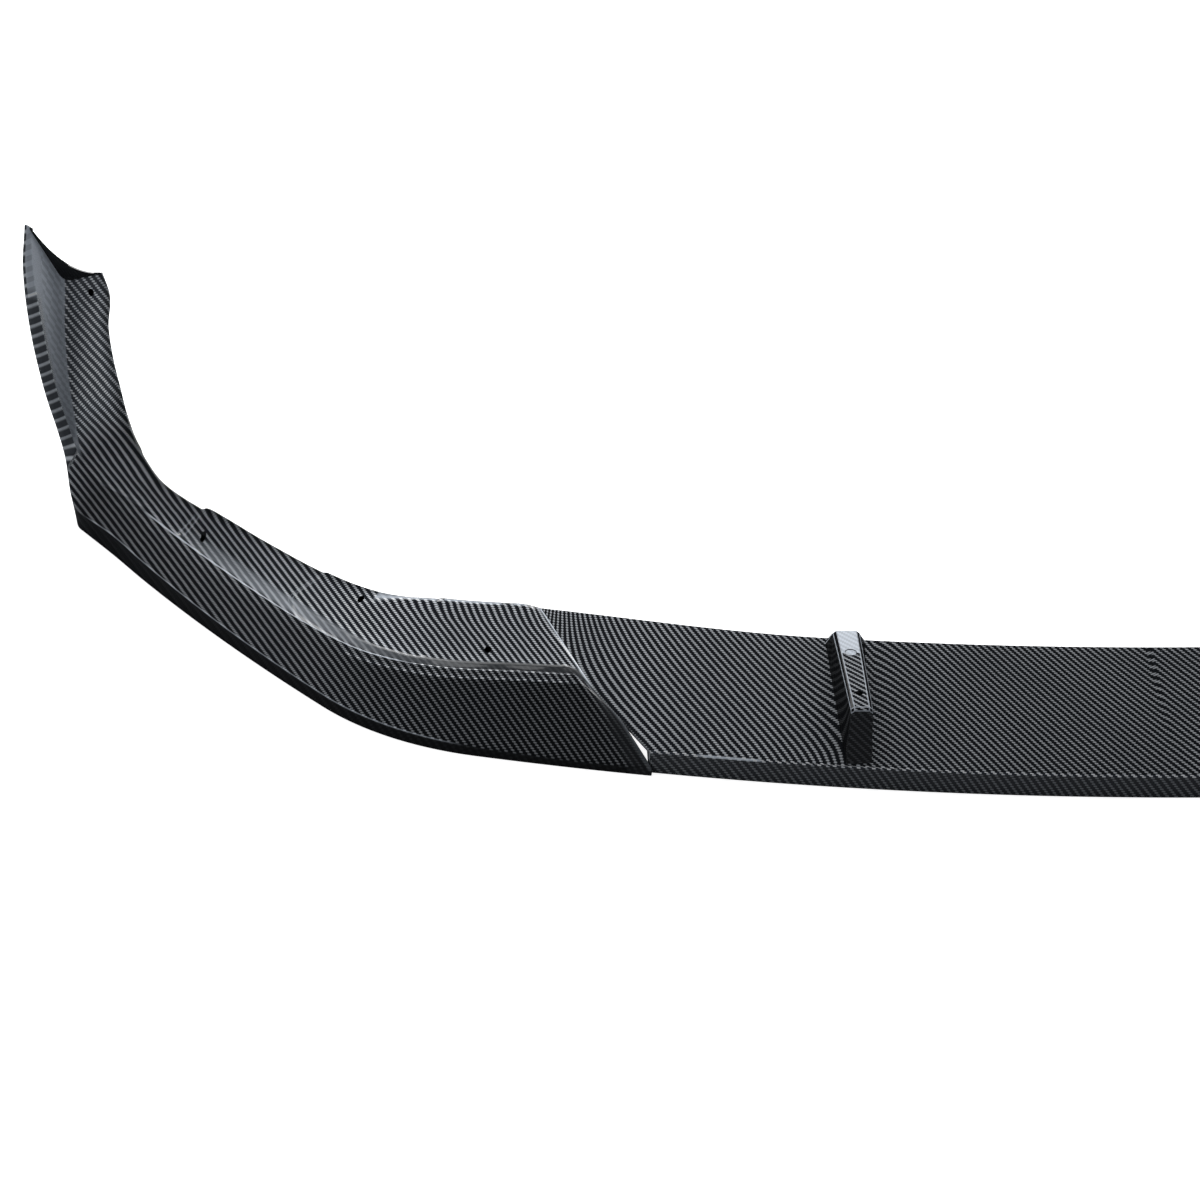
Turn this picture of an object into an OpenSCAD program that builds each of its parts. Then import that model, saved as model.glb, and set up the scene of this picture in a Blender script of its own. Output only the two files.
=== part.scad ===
// Front splitter lip for a car bumper: a centre section with two ribs and two
// overlapping corner sections that run back along the bumper and end in winglets.
// X is across the car, the front faces -Y, Z is up. Millimetres.
// The lip stands on its bottom edges at Z = 0. The origin lies midway between its
// foremost and rearmost points.

/* [Front edge in plan] */
// Radius of the long front edge
nose_radius = 2280; // [2000:10:2600]
// Heading of the front edge where the bend begins, degrees
nose_angle = 12.7; // [11.5:0.5:14]
// Radius of the bend between front and flank
bend_radius = 245; // [200:5:300]
// Heading of the edge where the flank begins, degrees
bend_angle = 45; // [42:1:48]
// Radius of the flank edge
flank_radius = 2450; // [2200:50:2800]
// Heading of the edge at the outer corner, degrees
flank_angle = 54; // [52:0.5:56]

/* [Walls] */
// Thickness of every moulded wall
wall = 3; // [2.2:0.1:3.4]
// Clearance between the sections where they overlap
seat_gap = 0.3; // [0.2:0.1:0.6]

/* [Centre section] */
// Height of the upright front face
centre_face_h = 18; // [14:0.5:22]
// Depth of the blade in the middle, front to back
centre_run = 115; // [108:1:124]
// Height of the blade's rear edge in the middle
centre_rear_h = 55; // [52:0.5:57]
// How much deeper the blade is at the joints
centre_more_run = 4; // [2:0.5:6]
// How much higher its rear edge is at the joints
centre_more_h = 3; // [1.5:0.5:4]
// Distance that the front face leans back
face_draft = 1.5; // [0.5:0.1:3]
// Rounding along the top of the front face
face_round = 2.5; // [1:0.5:4]

/* [Ribs on the centre section] */
// Place of each rib, from the middle
rib_x = 226.5; // [200:0.5:260]
// Height of the rib's level top at the back
rib_h = 64; // [61:0.5:70]
// Height of the rib's top at the front
rib_front_h = 62.5; // [60:0.5:68]
// Length of the level part of the top
rib_level = 34; // [20:1:50]
// Width of the rib at the back
rib_back_w = 20; // [18:0.5:26]
// Width of the rib at the front
rib_front_w = 15.5; // [13:0.5:18]
// How much wider each side stands at the foot, at the back
rib_flare = 5.5; // [3:0.5:8]
// The same at the front
rib_front_flare = 1.5; // [0.5:0.5:3]
// Distance of the rib's foot from the blade's front edge
rib_setback = 4; // [3:0.5:10]
// Distance that the rib's front leans back
rib_lean = 4; // [2:0.5:6]
// Bevel along the rib's top edges
rib_bevel = 2.5; // [1.5:0.1:3.5]
// Thickness of the rib's walls
rib_wall = 2.5; // [2:0.1:3]
// Distance of the rib's hole from the front end of its top
rib_hole_in = 20; // [12:0.5:40]

/* [Joint between centre and corner] */
// Where the joint meets the front edge, from the middle
joint_x = 385; // [350:1:400]
// Slant of the joint away from straight back, degrees
joint_slant = 27.5; // [22:0.5:34]
// How far the corner's face stands in front of the centre's
corner_proud = 4; // [3.5:0.1:6]
// Width of the slope that brings the corner down onto the centre
joint_slope_w = 16; // [10:1:22]
// Length of the centre's tongue under the corner
tongue_len = 70; // [60:1:80]
// How far the corner's foot runs on towards the middle
joint_toe = 12; // [4:1:16]
// Gap between the centre's cut end and the corner's edge
end_gap = 2; // [1:0.1:3]
// Distance of the tongue's front edge from the blade's front edge
tongue_front = 45; // [43:0.5:46]
// Distance of the tongue's rear edge from the blade's front edge
tongue_rear = 105; // [95:1:106]

/* [Corner section] */
// Width of the bevel below the crest
crest_bevel = 7; // [4:0.5:10]
// Hollow between ledge and flange
valley_round = 8; // [4:0.5:12]
// Hollow between the winglet's fin and flange
wing_round = 20; // [8:1:26]
// Width of the level strip along the rear edge near the joint
roll_w = 6; // [4:0.5:9]
// Height of the winglet's tip
winglet_h = 248; // [225:1:270]

/* [Holes and screws] */
// Diameter of the mounting holes
hole_d = 5.6; // [4.5:0.1:6.5]
// Thread diameter of the joint screws
screw_d = 4; // [3.5:0.1:4.6]
// Head diameter of the joint screws
screw_head_d = 8; // [7:0.1:9]
// Head height of the joint screws
screw_head_h = 2.6; // [2:0.1:3.2]
// Length of the joint screws under the head
screw_len = 13; // [12:0.5:13.5]
// Distance between the two screws of a joint
screw_pitch = 32; // [26:1:36]
// Distance of the joint screws from the blade's front edge
screw_run = 54; // [53:0.5:56]
// Distance of the first screw from the foot of the slope
screw_in = 9; // [7:0.5:14]
// Clearance round a screw where it passes through
screw_gap = 0.25; // [0.2:0.05:0.5]
// Wall round each screw hole, in pads and bosses
boss_wall = 3.5; // [2.5:0.1:4]

/* [Hidden] */

function mix(a, b, t) = a + (b - a) * t;
function clamp01(t) = min(1, max(0, t));
function unit(v) = v / norm(v);
function flat(lists) = [for (l = lists) for (e = l) e];

// Smooth curve through rows of [place, values...]
function slope_at(rows, i) =
    let (a = max(0, i - 1), b = min(len(rows) - 1, i + 1))
    (rows[b] - rows[a]) / (rows[b][0] - rows[a][0]);
function row_of(rows, t, i = 0) = (i >= len(rows) - 2 || t < rows[i + 1][0]) ? i : row_of(rows, t, i + 1);
function curve(rows, t) =
    let (i = row_of(rows, t), a = rows[i], b = rows[i + 1], w = b[0] - a[0], k = clamp01((t - a[0]) / w),
         p = a * (2 * k * k * k - 3 * k * k + 1) + slope_at(rows, i) * w * (k * k * k - 2 * k * k + k)
           + b * (3 * k * k - 2 * k * k * k) + slope_at(rows, i + 1) * w * (k * k * k - k * k))
    [for (j = [1:len(a) - 1]) p[j]];

// Front edge in plan, by distance along it from the middle: [x, y, heading]
nose_len = nose_radius * nose_angle * PI / 180;
bend_len = bend_radius * (bend_angle - nose_angle) * PI / 180;
flank_len = flank_radius * (flank_angle - bend_angle) * PI / 180;
edge_len = nose_len + bend_len + flank_len;
function arc_step(from, radius, a, b) =
    [from[0] - radius * (sin(b) - sin(a)), from[1] + radius * (cos(a) - cos(b)), b];
nose_start = [0, -corner_proud, 0];
nose_end = arc_step(nose_start, nose_radius, 0, nose_angle);
bend_end = arc_step(nose_end, bend_radius, nose_angle, bend_angle);
corner_pt = arc_step(bend_end, flank_radius, bend_angle, flank_angle);
function edge_at(s) =
    s < nose_len ? arc_step(nose_start, nose_radius, 0, s / nose_radius * 180 / PI)
    : s < nose_len + bend_len ?
        arc_step(nose_end, bend_radius, nose_angle, nose_angle + (s - nose_len) / bend_radius * 180 / PI)
    : arc_step(bend_end, flank_radius, bend_angle,
               bend_angle + (s - nose_len - bend_len) / flank_radius * 180 / PI);
// Point at a distance s along the edge, run mm inside it and rise mm up
function inside(s, run, rise) =
    let (e = edge_at(s)) [e[0] + run * sin(e[2]), e[1] + run * cos(e[2]), rise];

// Blade of the centre: its depth and rear height grow from grow_from to the joint
nose_centre = [0, nose_radius - corner_proud];
grow_from = 260;
function growth(s) =
    let (k = clamp01((abs(s) - grow_from) / (joint_s(centre_run) - grow_from))) k * k * (3 - 2 * k);
function blade_run(s) = centre_run + centre_more_run * growth(s);
function blade_h(s) = centre_rear_h + centre_more_h * growth(s);
// Height of the centre's outer skin at a point in plan
function centre_depth(x, y) = nose_radius - corner_proud - norm([x, y] - nose_centre);
function centre_skin(x, y) =
    let (s = atan2(x, nose_centre[1] - y) * PI / 180 * nose_radius,
         way_up = (centre_depth(x, y) - face_draft) / (blade_run(s) - face_draft))
    mix(centre_face_h, blade_h(s), way_up);

// Distance along the edge at which a rail that lies run mm inside starts on the joint line
joint_a = asin(joint_x / nose_radius);
joint_pt = nose_centre - nose_radius * [sin(joint_a), cos(joint_a)];
function joint_s(run) =
    let (d = [-sin(joint_slant), cos(joint_slant)], q = joint_pt - nose_centre,
         b = q * d, c = q * q - (nose_radius - run) * (nose_radius - run),
         k = -b - sqrt(b * b - c), p = joint_pt + d * k)
    asin(-p[0] / (nose_radius - run)) * PI / 180 * nose_radius;

// Corner section, from the joint (u = 0) to the outer corner (u = 1): [u, run, rise]
face_rows = [[0, 1, 6], [0.1, 1, 6], [0.3, 1.5, 9], [0.6, 2, 12], [0.85, 2, 17], [1, 2, 20]];
crest_rows = [[0, 49, 49], [0.12, 45, 47], [0.28, 36, 43], [0.42, 31, 38], [0.62, 31, 35],
              [0.76, 30, 35], [0.84, 28, 37], [0.94, 24, 41], [1, 22, 43]];
valley_rows = [[0, 67, 40], [0.12, 62, 39], [0.28, 53, 35], [0.42, 48, 31], [0.62, 48, 30],
               [0.74, 44, 32], [0.84, 37, 38], [0.94, 34, 43], [1, 34, 45]];
rear_rows = [[0, 116, 55], [0.12, 112, 54], [0.3, 91, 53], [0.47, 72, 53], [0.65, 64, 53],
             [0.8, 54, 57], [0.92, 43, 61], [1, 41, 65]];
// Where each rail ends short of the outer corner
rail_stop = 27;
rear_stop = 51;
// Shallow steps across the flange: [u, rise, spread].
// At the middle one the valley runs ahead of the rear edge
flange_steps = [[0.244, -1, 0.012], [0.49, -2, 0.012], [0.808, -2, 0.014]];
valley_ahead = 0.058;
ahead_reach = 0.2;
function step_up(u) = [for (s = flange_steps) s[1] * (clamp01((u - s[0]) / s[2]) - 1)] * [1, 1, 1];
function ahead(u) = valley_ahead * max(0, 1 - abs(u - flange_steps[1][0]) / ahead_reach);
function on_rail(rows, u, stop) =
    let (v = curve(rows, u)) inside(mix(joint_s(rows[0][1]), edge_len - stop, u), v[0], v[1]);
function front_key(u) =
    let (face = curve(face_rows, u), s = mix(joint_s(0) - joint_toe, edge_len - rail_stop, u))
    [inside(s, 0, 0), inside(s, face[0], face[1]), on_rail(crest_rows, u, rail_stop),
     on_rail(valley_rows, u + ahead(u), rail_stop), on_rail(rear_rows, u, rear_stop)];

// Round the outer corner and up the winglet (u = 1 to 2): [u, x, y, z] steps from rail to rail,
// the fin's edge counted from the outer corner
fin_rows = [[1.04, 6, -13, 19], [1.08, -1, -5, 20], [1.12, -5, 2, 22], [1.2, -10, 14, 30],
            [1.33, -19, 42, 47], [1.45, -24, 48, 69], [1.6, -33, 54, 110], [1.75, -40, 64, 162],
            [1.9, -42, 79, 212], [2, -38, 90, winglet_h]];
lip_rows = [[1.04, 0, 1, -20], [1.08, -1, 3, -21], [1.12, -1, 6, -22], [1.2, -1, 10, -22],
            [1.33, 0, 12, -16], [1.45, 0, 16, -10], [1.6, 1, 18, -7], [1.75, 1, 18, -5],
            [1.9, 1, 17, -6], [2, 1, 16, -9]];
strip_rows = [[1.04, 21, 7, 23], [1.08, 20, 9, 24], [1.12, 17, 11, 23], [1.2, 12, 12, 19],
              [1.33, 8, 4, 9], [1.45, 8, 2, 3], [1.6, 9, 2, -2], [1.75, 10, 1, -2], [1.9, 8, 0, 0],
              [2, 4.5, 1, -2]];
fin_face_rows = [[1.04, -5, 12, 2], [1.08, -5, 12, 2], [1.12, -5, 11, 3], [1.2, -4, 10, 4],
                 [1.33, 3, 5, 6], [1.45, 6, 9, 2], [1.6, 10, 17, -2], [1.75, 13, 27, -14],
                 [1.9, 19, 25, -34], [2, 18, 19, -57]];
flange_rows = [[1.04, 38, -8, 27], [1.08, 43, -10, 29], [1.12, 47, -14, 30], [1.2, 51, -17, 32],
               [1.33, 50, -18, 37], [1.45, 47, -16, 40], [1.6, 44, -15, 31], [1.75, 42, -17, 14],
               [1.9, 41, -13, 4], [1.97, 40, -10, 6], [2, 34, -8, 11]];
corner_at = [corner_pt[0], corner_pt[1], 0];
function wing_key(u) =
    let (t = corner_at + curve(fin_rows, u), c = t + curve(strip_rows, u), v = c + curve(fin_face_rows, u))
    [t + curve(lip_rows, u), t, c, v, v + curve(flange_rows, u)];
// Both parts are joined by one smooth rail each
wing_from = 0.85;
key_places = concat([0.75, 0.85, 0.94], [for (r = fin_rows) r[0]]);
rails = [for (j = [0:4]) [for (u = key_places) concat([u], (u <= 1 ? front_key(u) : wing_key(u))[j])]];
function key_points(u) = u < wing_from ? front_key(u) : [for (r = rails) curve(r, u)];

// Corner of a chain, rounded with k + 1 points
function rounded(a, p, b, ra, rb, k) =
    let (pa = p + unit(a - p) * min(ra, norm(a - p) * 0.45),
         pb = p + unit(b - p) * min(rb, norm(b - p) * 0.45))
    [for (i = [0:k]) let (t = i / k) pa * (1 - t) * (1 - t) + p * 2 * t * (1 - t) + pb * t * t];
// The strip along the rear edge lies level near the joint and runs out along the flange
roll_end = [0.33, 0.41];
function roll_share(u) = 1 - clamp01((u - roll_end[0]) / (roll_end[1] - roll_end[0]));
function fold_point(v, r, share) =
    let (p = mix(v, r, mix(0.55, 1 - roll_w / norm(r - v), share)))
    [p[0], p[1], mix(p[2], r[2] - 0.3, share)];
// Section across the corner, as five corners: bottom edge, top of the face, crest, valley, rear edge
function keys(u) =
    let (p = key_points(u), up = [0, 0, u < 1 ? step_up(u) : 0])
    [[p[0][0], p[0][1], max(0, p[0][2])], p[1], p[2], p[3] + up, p[4] + up];
// The same section with its rounded corners, in mm inside the outer skin
function chain(u, k, in) =
    let (face = max(0.3, face_round - in),
         hollow = in + mix(valley_round, wing_round, clamp01((u - 1.2) / 0.25)))
    concat([k[0]], rounded(k[0], k[1], k[2], face, face, 3), [mix(k[1], k[2], 0.5)],
           rounded(k[1], k[2], k[3], crest_bevel, 2, 1), rounded(k[2], k[3], k[4], hollow, hollow, 4),
           [fold_point(k[3], k[4], roll_share(u)), k[4]]);
// The end of the corner comes down onto the centre's skin
function settled(p, share, lift) =
    [p[0], p[1], mix(min(p[2], centre_skin(p[0], p[1]) + lift), p[2], share)];

slope_u = joint_slope_w / (edge_len - joint_s(0));
function spread(a, b, n) = [for (i = [1:n]) mix(a, b, i / n)];
step_from = [for (s = flange_steps) s[0]];
step_to = [for (s = flange_steps) s[0] + s[2]];
stations = concat([0, slope_u * 0.5, slope_u], spread(slope_u, step_from[0], 5), [step_to[0]],
                  spread(step_to[0], step_from[1], 6), [step_to[1]], spread(step_to[1], step_from[2], 6),
                  [step_to[2]], spread(step_to[2], 1, 4), spread(1, 1.2, 7), spread(1.2, 1.9, 10),
                  [1.95, 1.975, 2]);

// Inner side of a wall: each corner of the section moves in by the wall, and the bottom edge stays level
function seg_normal(t, d) = unit(cross(d, t));
function mitre(g, i, j) =
    let (n = len(g) - 1, m = len(g[0]) - 1,
         t = g[min(i + 1, n)][j] - g[max(i - 1, 0)][j],
         a = seg_normal(t, g[i][max(j, 1)] - g[i][max(j, 1) - 1]),
         b = seg_normal(t, g[i][min(j, m - 1) + 1] - g[i][min(j, m - 1)]))
    (a + b) / max(0.5, 1 + a * b);
function behind(g, depths) =
    [for (i = [0:len(g) - 1]) [for (j = [0:len(g[0]) - 1])
        let (q = g[i][j] - mitre(g, i, j) * depths[i]) [q[0], q[1], j == 0 ? g[i][0][2] : q[2]]]];

skin_slope = (centre_rear_h - centre_face_h) / (centre_run - face_draft);
wall_v = wall * sqrt(1 + skin_slope * skin_slope);
corner_keys = [for (u = stations) keys(u)];
// The wall thins where the fin's front edge narrows
corner_walls = [for (k = corner_keys) min(wall, 0.42 * norm(k[2] - k[1]))];
corner_keys_in = behind(corner_keys, corner_walls);
function skin(all_keys, depths, lift) =
    [for (i = [0:len(stations) - 1]) let (u = stations[i])
        [for (p = chain(u, all_keys[i], depths[i])) settled(p, clamp01(u / slope_u), lift)]];
corner_out = skin(corner_keys, corner_walls * 0, wall_v + seat_gap);
corner_in = skin(corner_keys_in, corner_walls, seat_gap);

// Closed wall between an outer and an inner grid of points
function strip_faces(a, b, c, d) = [[a, b, c], [a, c, d]];
function shell_faces(n, m) =
    let (o = n * m)
    concat(
        flat([for (i = [0:n - 2]) for (j = [0:m - 2])
            strip_faces(i * m + j, (i + 1) * m + j, (i + 1) * m + j + 1, i * m + j + 1)]),
        flat([for (i = [0:n - 2]) for (j = [0:m - 2])
            strip_faces(o + i * m + j, o + i * m + j + 1, o + (i + 1) * m + j + 1, o + (i + 1) * m + j)]),
        flat([for (i = [0:n - 2]) concat(
            strip_faces(i * m, o + i * m, o + (i + 1) * m, (i + 1) * m),
            strip_faces(i * m + m - 1, (i + 1) * m + m - 1, o + (i + 1) * m + m - 1, o + i * m + m - 1))]),
        flat([for (j = [0:m - 2]) concat(
            strip_faces(j, j + 1, o + j + 1, o + j),
            strip_faces((n - 1) * m + j, o + (n - 1) * m + j,
                        o + (n - 1) * m + j + 1, (n - 1) * m + j + 1))]));
module shell(outer, inner) {
    polyhedron(points = concat(flat(outer), flat(inner)), faces = shell_faces(len(outer), len(outer[0])),
               convexity = 8);
}

// Solid through a row of closed rings
function loft_faces(n, m) =
    concat(flat([for (i = [0:n - 2]) for (j = [0:m - 1])
               strip_faces(i * m + j, i * m + (j + 1) % m, (i + 1) * m + (j + 1) % m, (i + 1) * m + j)]),
           [for (j = [1:m - 2]) [0, j + 1, j]],
           [for (j = [1:m - 2]) [(n - 1) * m, (n - 1) * m + j, (n - 1) * m + j + 1]]);
module loft(rings) {
    polyhedron(points = flat(rings), faces = loft_faces(len(rings), len(rings[0])), convexity = 6);
}

// Wall that closes the top of the winglet between fin and flange, with a hollow upper edge
last = len(stations) - 1;
function cap_key(j) = (corner_keys[last][j] + corner_keys_in[last][j]) / 2;
cap_hollow = [2, 0, 5];
function cap_rim(t) = // from the tip of the fin to the top of the flange
    cap_key(2) * (1 - t) * (1 - t) + (cap_key(3) + cap_hollow) * 2 * t * (1 - t) + cap_key(4) * t * t;
function cap_foot(j) = (corner_out[last][j] + corner_in[last][j]) / 2;
cap_sheet = concat([for (j = [10:-1:8]) cap_foot(j)], [for (i = [0:8]) cap_rim(i / 8)],
                   [for (j = [12:-1:11]) cap_foot(j)]);
cap_t = [0, -wall * 0.8, 0];
module end_wall() {
    loft([cap_sheet, [for (p = cap_sheet) p + cap_t]]);
}

// The whole lip stands with its middle over the origin
depth = max([for (g = concat(corner_out, corner_in)) for (p = g) p[1]]);
module in_place() {
    translate([0, -depth / 2, 0]) children();
}
module both_sides() {
    children();
    mirror([1, 0, 0]) children();
}

// Joint screws: from below through pads on the centre's tongue into bosses under the corner's ledge
boss_r = screw_d / 2 + boss_wall;
screw_at = [for (i = [0:1])
    inside(joint_s(screw_run + corner_proud) + joint_slope_w + screw_in + i * screw_pitch,
           screw_run + corner_proud, 0)];
pad_rise = skin_slope * boss_r + 0.3;
pad_top = centre_skin(screw_at[0][0], screw_at[0][1]) + pad_rise;
pad_low = pad_top - 2 * pad_rise - wall_v;
boss_low = pad_top + seat_gap;
// The bosses end inside the ledge's wall, which is lowest at this part of the way along the corner
boss_u = 0.06;
boss_top = keys(boss_u)[3][2] - 1;
// Room at the tip and round the thread of a screw in its boss
pilot_end = pad_low + screw_len + 0.4;
pilot_d = screw_d + 0.1;
module at_screws(z) {
    for (p = screw_at) translate([p[0], p[1], z]) children();
}
module joint_screw() {
    socket_w = screw_d * 0.3;
    socket_l = screw_head_d * 0.56;
    difference() {
        union() {
            cylinder(d = screw_d, h = screw_len, $fn = 32);
            rotate_extrude($fn = 40)
                polygon([[0, 0], [screw_head_d / 2, 0], [screw_head_d / 2, -screw_head_h * 0.5],
                         [screw_head_d * 0.42, -screw_head_h * 0.85],
                         [screw_head_d * 0.28, -screw_head_h], [0, -screw_head_h]]);
        }
        for (a = [0, 90]) rotate(a) translate([-socket_l / 2, -socket_w / 2, -screw_head_h - 1])
            cube([socket_l, socket_w, 1 + screw_head_h * 0.6]);
    }
}
module left_screws_shape() {
    at_screws(pad_low) joint_screw();
}
module left_joint_screws() {
    color("silver") in_place() left_screws_shape();
}
module right_joint_screws() {
    color("silver") in_place() mirror([1, 0, 0]) left_screws_shape();
}

// Corner section: wall, end wall, bosses, holes. Holes: [u, share of the way up the flange]
flange_holes = [[0.13, 0.2], [0.4, 0.71], [0.775, 0.14]];
wing_hole = [1.915, 0.62];
function flange_point(h) = let (k = keys(h[0])) mix(k[3], k[4], h[1]);
module left_corner_shape() {
    difference() {
        union() {
            shell(corner_out, corner_in);
            end_wall();
            at_screws(boss_low) cylinder(r = boss_r - 0.5, h = boss_top - boss_low, $fn = 40);
        }
        at_screws(boss_low - 1) cylinder(d = pilot_d, h = pilot_end - boss_low + 1, $fn = 32);
        for (h = flange_holes) translate(flange_point(h) + [0, 0, -wall * 3])
            cylinder(d = hole_d, h = wall * 6, $fn = 40);
        translate(flange_point(wing_hole)) rotate([90, 0, 0])
            cylinder(d = hole_d, h = wall * 8, center = true, $fn = 40);
    }
}
module left_corner() {
    color([0.2, 0.21, 0.23]) in_place() left_corner_shape();
}
module right_corner() {
    color([0.2, 0.21, 0.23]) in_place() mirror([1, 0, 0]) left_corner_shape();
}

// Centre section: front face and blade
tongue_end = joint_s(centre_run + corner_proud) + tongue_len;
centre_steps = 22;
centre_places = [for (i = [-centre_steps:centre_steps]) tongue_end * i / centre_steps];
function mirrored(p) = [-p[0], p[1], p[2]];
function centre_key(s) =
    [inside(s, corner_proud, 0), inside(s, corner_proud + face_draft, centre_face_h),
     inside(s, corner_proud + blade_run(s), blade_h(s))];
centre_keys = [for (s = centre_places) s < 0 ? [for (p = centre_key(-s)) mirrored(p)] : centre_key(s)];
function centre_skins(all_keys, r) =
    [for (k = all_keys) concat([k[0]], rounded(k[0], k[1], k[2], r, r, 3), [mix(k[1], k[2], 0.5), k[2]])];
centre_out = centre_skins(centre_keys, face_round);
centre_in = centre_skins(behind(centre_keys, [for (k = centre_keys) wall]), max(0.3, face_round - wall));

// Ribs: hollow from below. The inner form is the same, a wall further in, with a narrower bevel
inner_bevel = 0.4;
function centre_y(x, run) = nose_centre[1] - sqrt((nose_centre[1] - run) * (nose_centre[1] - run) - x * x);
rib_foot_y = centre_y(rib_x, rib_setback);
rib_back_y = centre_y(rib_x, blade_run(rib_x)) - 1;
rib_top_y = rib_foot_y + rib_lean;
function rib_ring(y, drop, cut, below) =
    let (t = clamp01((rib_back_y - y) / (rib_back_y - rib_top_y)),
         slope = clamp01((rib_back_y - y - rib_level) / (rib_back_y - rib_level - rib_top_y)),
         w = mix(rib_back_w, rib_front_w, t) / 2 - cut, top = mix(rib_h, rib_front_h, slope) - drop - cut,
         foot_w = w + mix(rib_flare, rib_front_flare, t), y_foot = min(y, mix(y, y - rib_lean, t * t)),
         foot = centre_skin(rib_x, y_foot) - below, bevel = rib_bevel * (cut > 0 ? inner_bevel : 1))
    [for (p = [[-foot_w, y_foot, foot], [-w, y, top - bevel * 0.8], [bevel - w, y, top], [w - bevel, y, top],
               [w, y, top - bevel * 0.8], [foot_w, y_foot, foot]]) p - [rib_x, 0, 0]];
function rib_rings(cut, below) =
    let (a = rib_back_y - cut, b = rib_top_y + cut, e = rib_bevel)
    concat([rib_ring(a, e * 0.7, cut, below), rib_ring(a - e, 0, cut, below),
            rib_ring(rib_back_y - rib_level, 0, cut, below)],
           [for (i = [1:3]) rib_ring(mix(rib_back_y - rib_level, b + e, i / 3), 0, cut, below)],
           [rib_ring(b, e * 0.7, cut, below)]);

// What is cut from the centre's end: the front beside the corner's face, and the strip behind the tongue.
// Both cuts run out past the piece by cut_past
cut_past = 20;
toe = inside(joint_s(0) - joint_toe, 1, 0);
crest_end = inside(joint_s(tongue_front + corner_proud), tongue_front + corner_proud, 0);
joint_dir = unit(crest_end - toe);
joint_side = [joint_dir[1], -joint_dir[0], 0];
function arc_points(run, from, to) =
    [for (i = [0:5]) inside(mix(from, to, i / 5), corner_proud + run, 0)];
function in_plan(points) = [for (p = points) [p[0], p[1]]];
rear_s = joint_s(centre_run + corner_proud);
front_cut = concat([toe - joint_dir * cut_past + joint_side * end_gap, crest_end + joint_side * end_gap],
                   arc_points(tongue_front, joint_s(tongue_front + corner_proud) + end_gap,
                              tongue_end + cut_past),
                   arc_points(-cut_past, tongue_end + cut_past, joint_s(0)));
rear_cut = concat(arc_points(tongue_rear, rear_s + 2 * end_gap, tongue_end + cut_past),
                  arc_points(centre_run + cut_past, tongue_end + cut_past, rear_s + 2 * end_gap));
module left_cuts() {
    translate([0, 0, -wall]) {
        linear_extrude(rib_h) polygon(in_plan(front_cut));
        linear_extrude(rib_h + cut_past) polygon(in_plan(rear_cut));
    }
    at_screws(pad_low - 1) cylinder(d = screw_d + 2 * screw_gap, h = pad_top - pad_low + 2, $fn = 32);
    loft(rib_rings(rib_wall, wall * 2.5));
    translate([-rib_x, rib_top_y + rib_hole_in, rib_h - wall * 3])
        cylinder(d = hole_d, h = wall * 4, $fn = 40);
}
module center_section() {
    color([0.24, 0.25, 0.27]) in_place() difference() {
        union() {
            shell(centre_out, centre_in);
            both_sides() {
                loft(rib_rings(0, wall * 0.5));
                at_screws(pad_low) cylinder(r = boss_r, h = pad_top - pad_low, $fn = 40);
            }
        }
        both_sides() left_cuts();
    }
}

center_section();
left_corner();
right_corner();
left_joint_screws();
right_joint_screws();
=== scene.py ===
from math import asin, cos, pi, radians, sin, sqrt

import bmesh
import bpy
import numpy as np
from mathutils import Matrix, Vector


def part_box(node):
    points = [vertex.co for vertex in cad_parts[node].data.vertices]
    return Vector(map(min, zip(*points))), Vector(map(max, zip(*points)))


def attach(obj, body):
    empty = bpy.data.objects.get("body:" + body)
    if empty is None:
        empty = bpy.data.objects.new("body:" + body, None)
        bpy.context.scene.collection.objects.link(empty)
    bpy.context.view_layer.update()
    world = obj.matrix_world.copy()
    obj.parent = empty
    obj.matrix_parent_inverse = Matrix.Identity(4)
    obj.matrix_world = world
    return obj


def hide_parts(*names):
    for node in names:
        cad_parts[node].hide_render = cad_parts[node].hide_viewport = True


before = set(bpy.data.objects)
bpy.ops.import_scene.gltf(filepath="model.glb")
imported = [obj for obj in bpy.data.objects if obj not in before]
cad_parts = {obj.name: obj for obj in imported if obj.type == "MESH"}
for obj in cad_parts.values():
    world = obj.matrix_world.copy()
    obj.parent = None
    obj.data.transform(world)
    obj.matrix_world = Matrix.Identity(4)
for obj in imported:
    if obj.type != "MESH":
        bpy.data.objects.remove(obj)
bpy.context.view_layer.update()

bl_info = {
    "name": "Front Splitter Lip",
    "version": (1, 0, 0),
    "blender": (4, 5, 0),
    "location": "View3D > Sidebar > Splitter",
    "description": "Moulded front splitter lip in three sections, twill cloth under clear gloss",
    "category": "Add Mesh",
}

MM = 0.001


# Sizes and colours

def size(name, text, default):
    return bpy.props.FloatProperty(name=name, description=text, default=default, min=0,
                                   unit="LENGTH", precision=5)


def tint(name, text, default):
    return bpy.props.FloatVectorProperty(name=name, description=text, default=default, size=3, min=0, max=1,
                                         subtype="COLOR")


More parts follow.
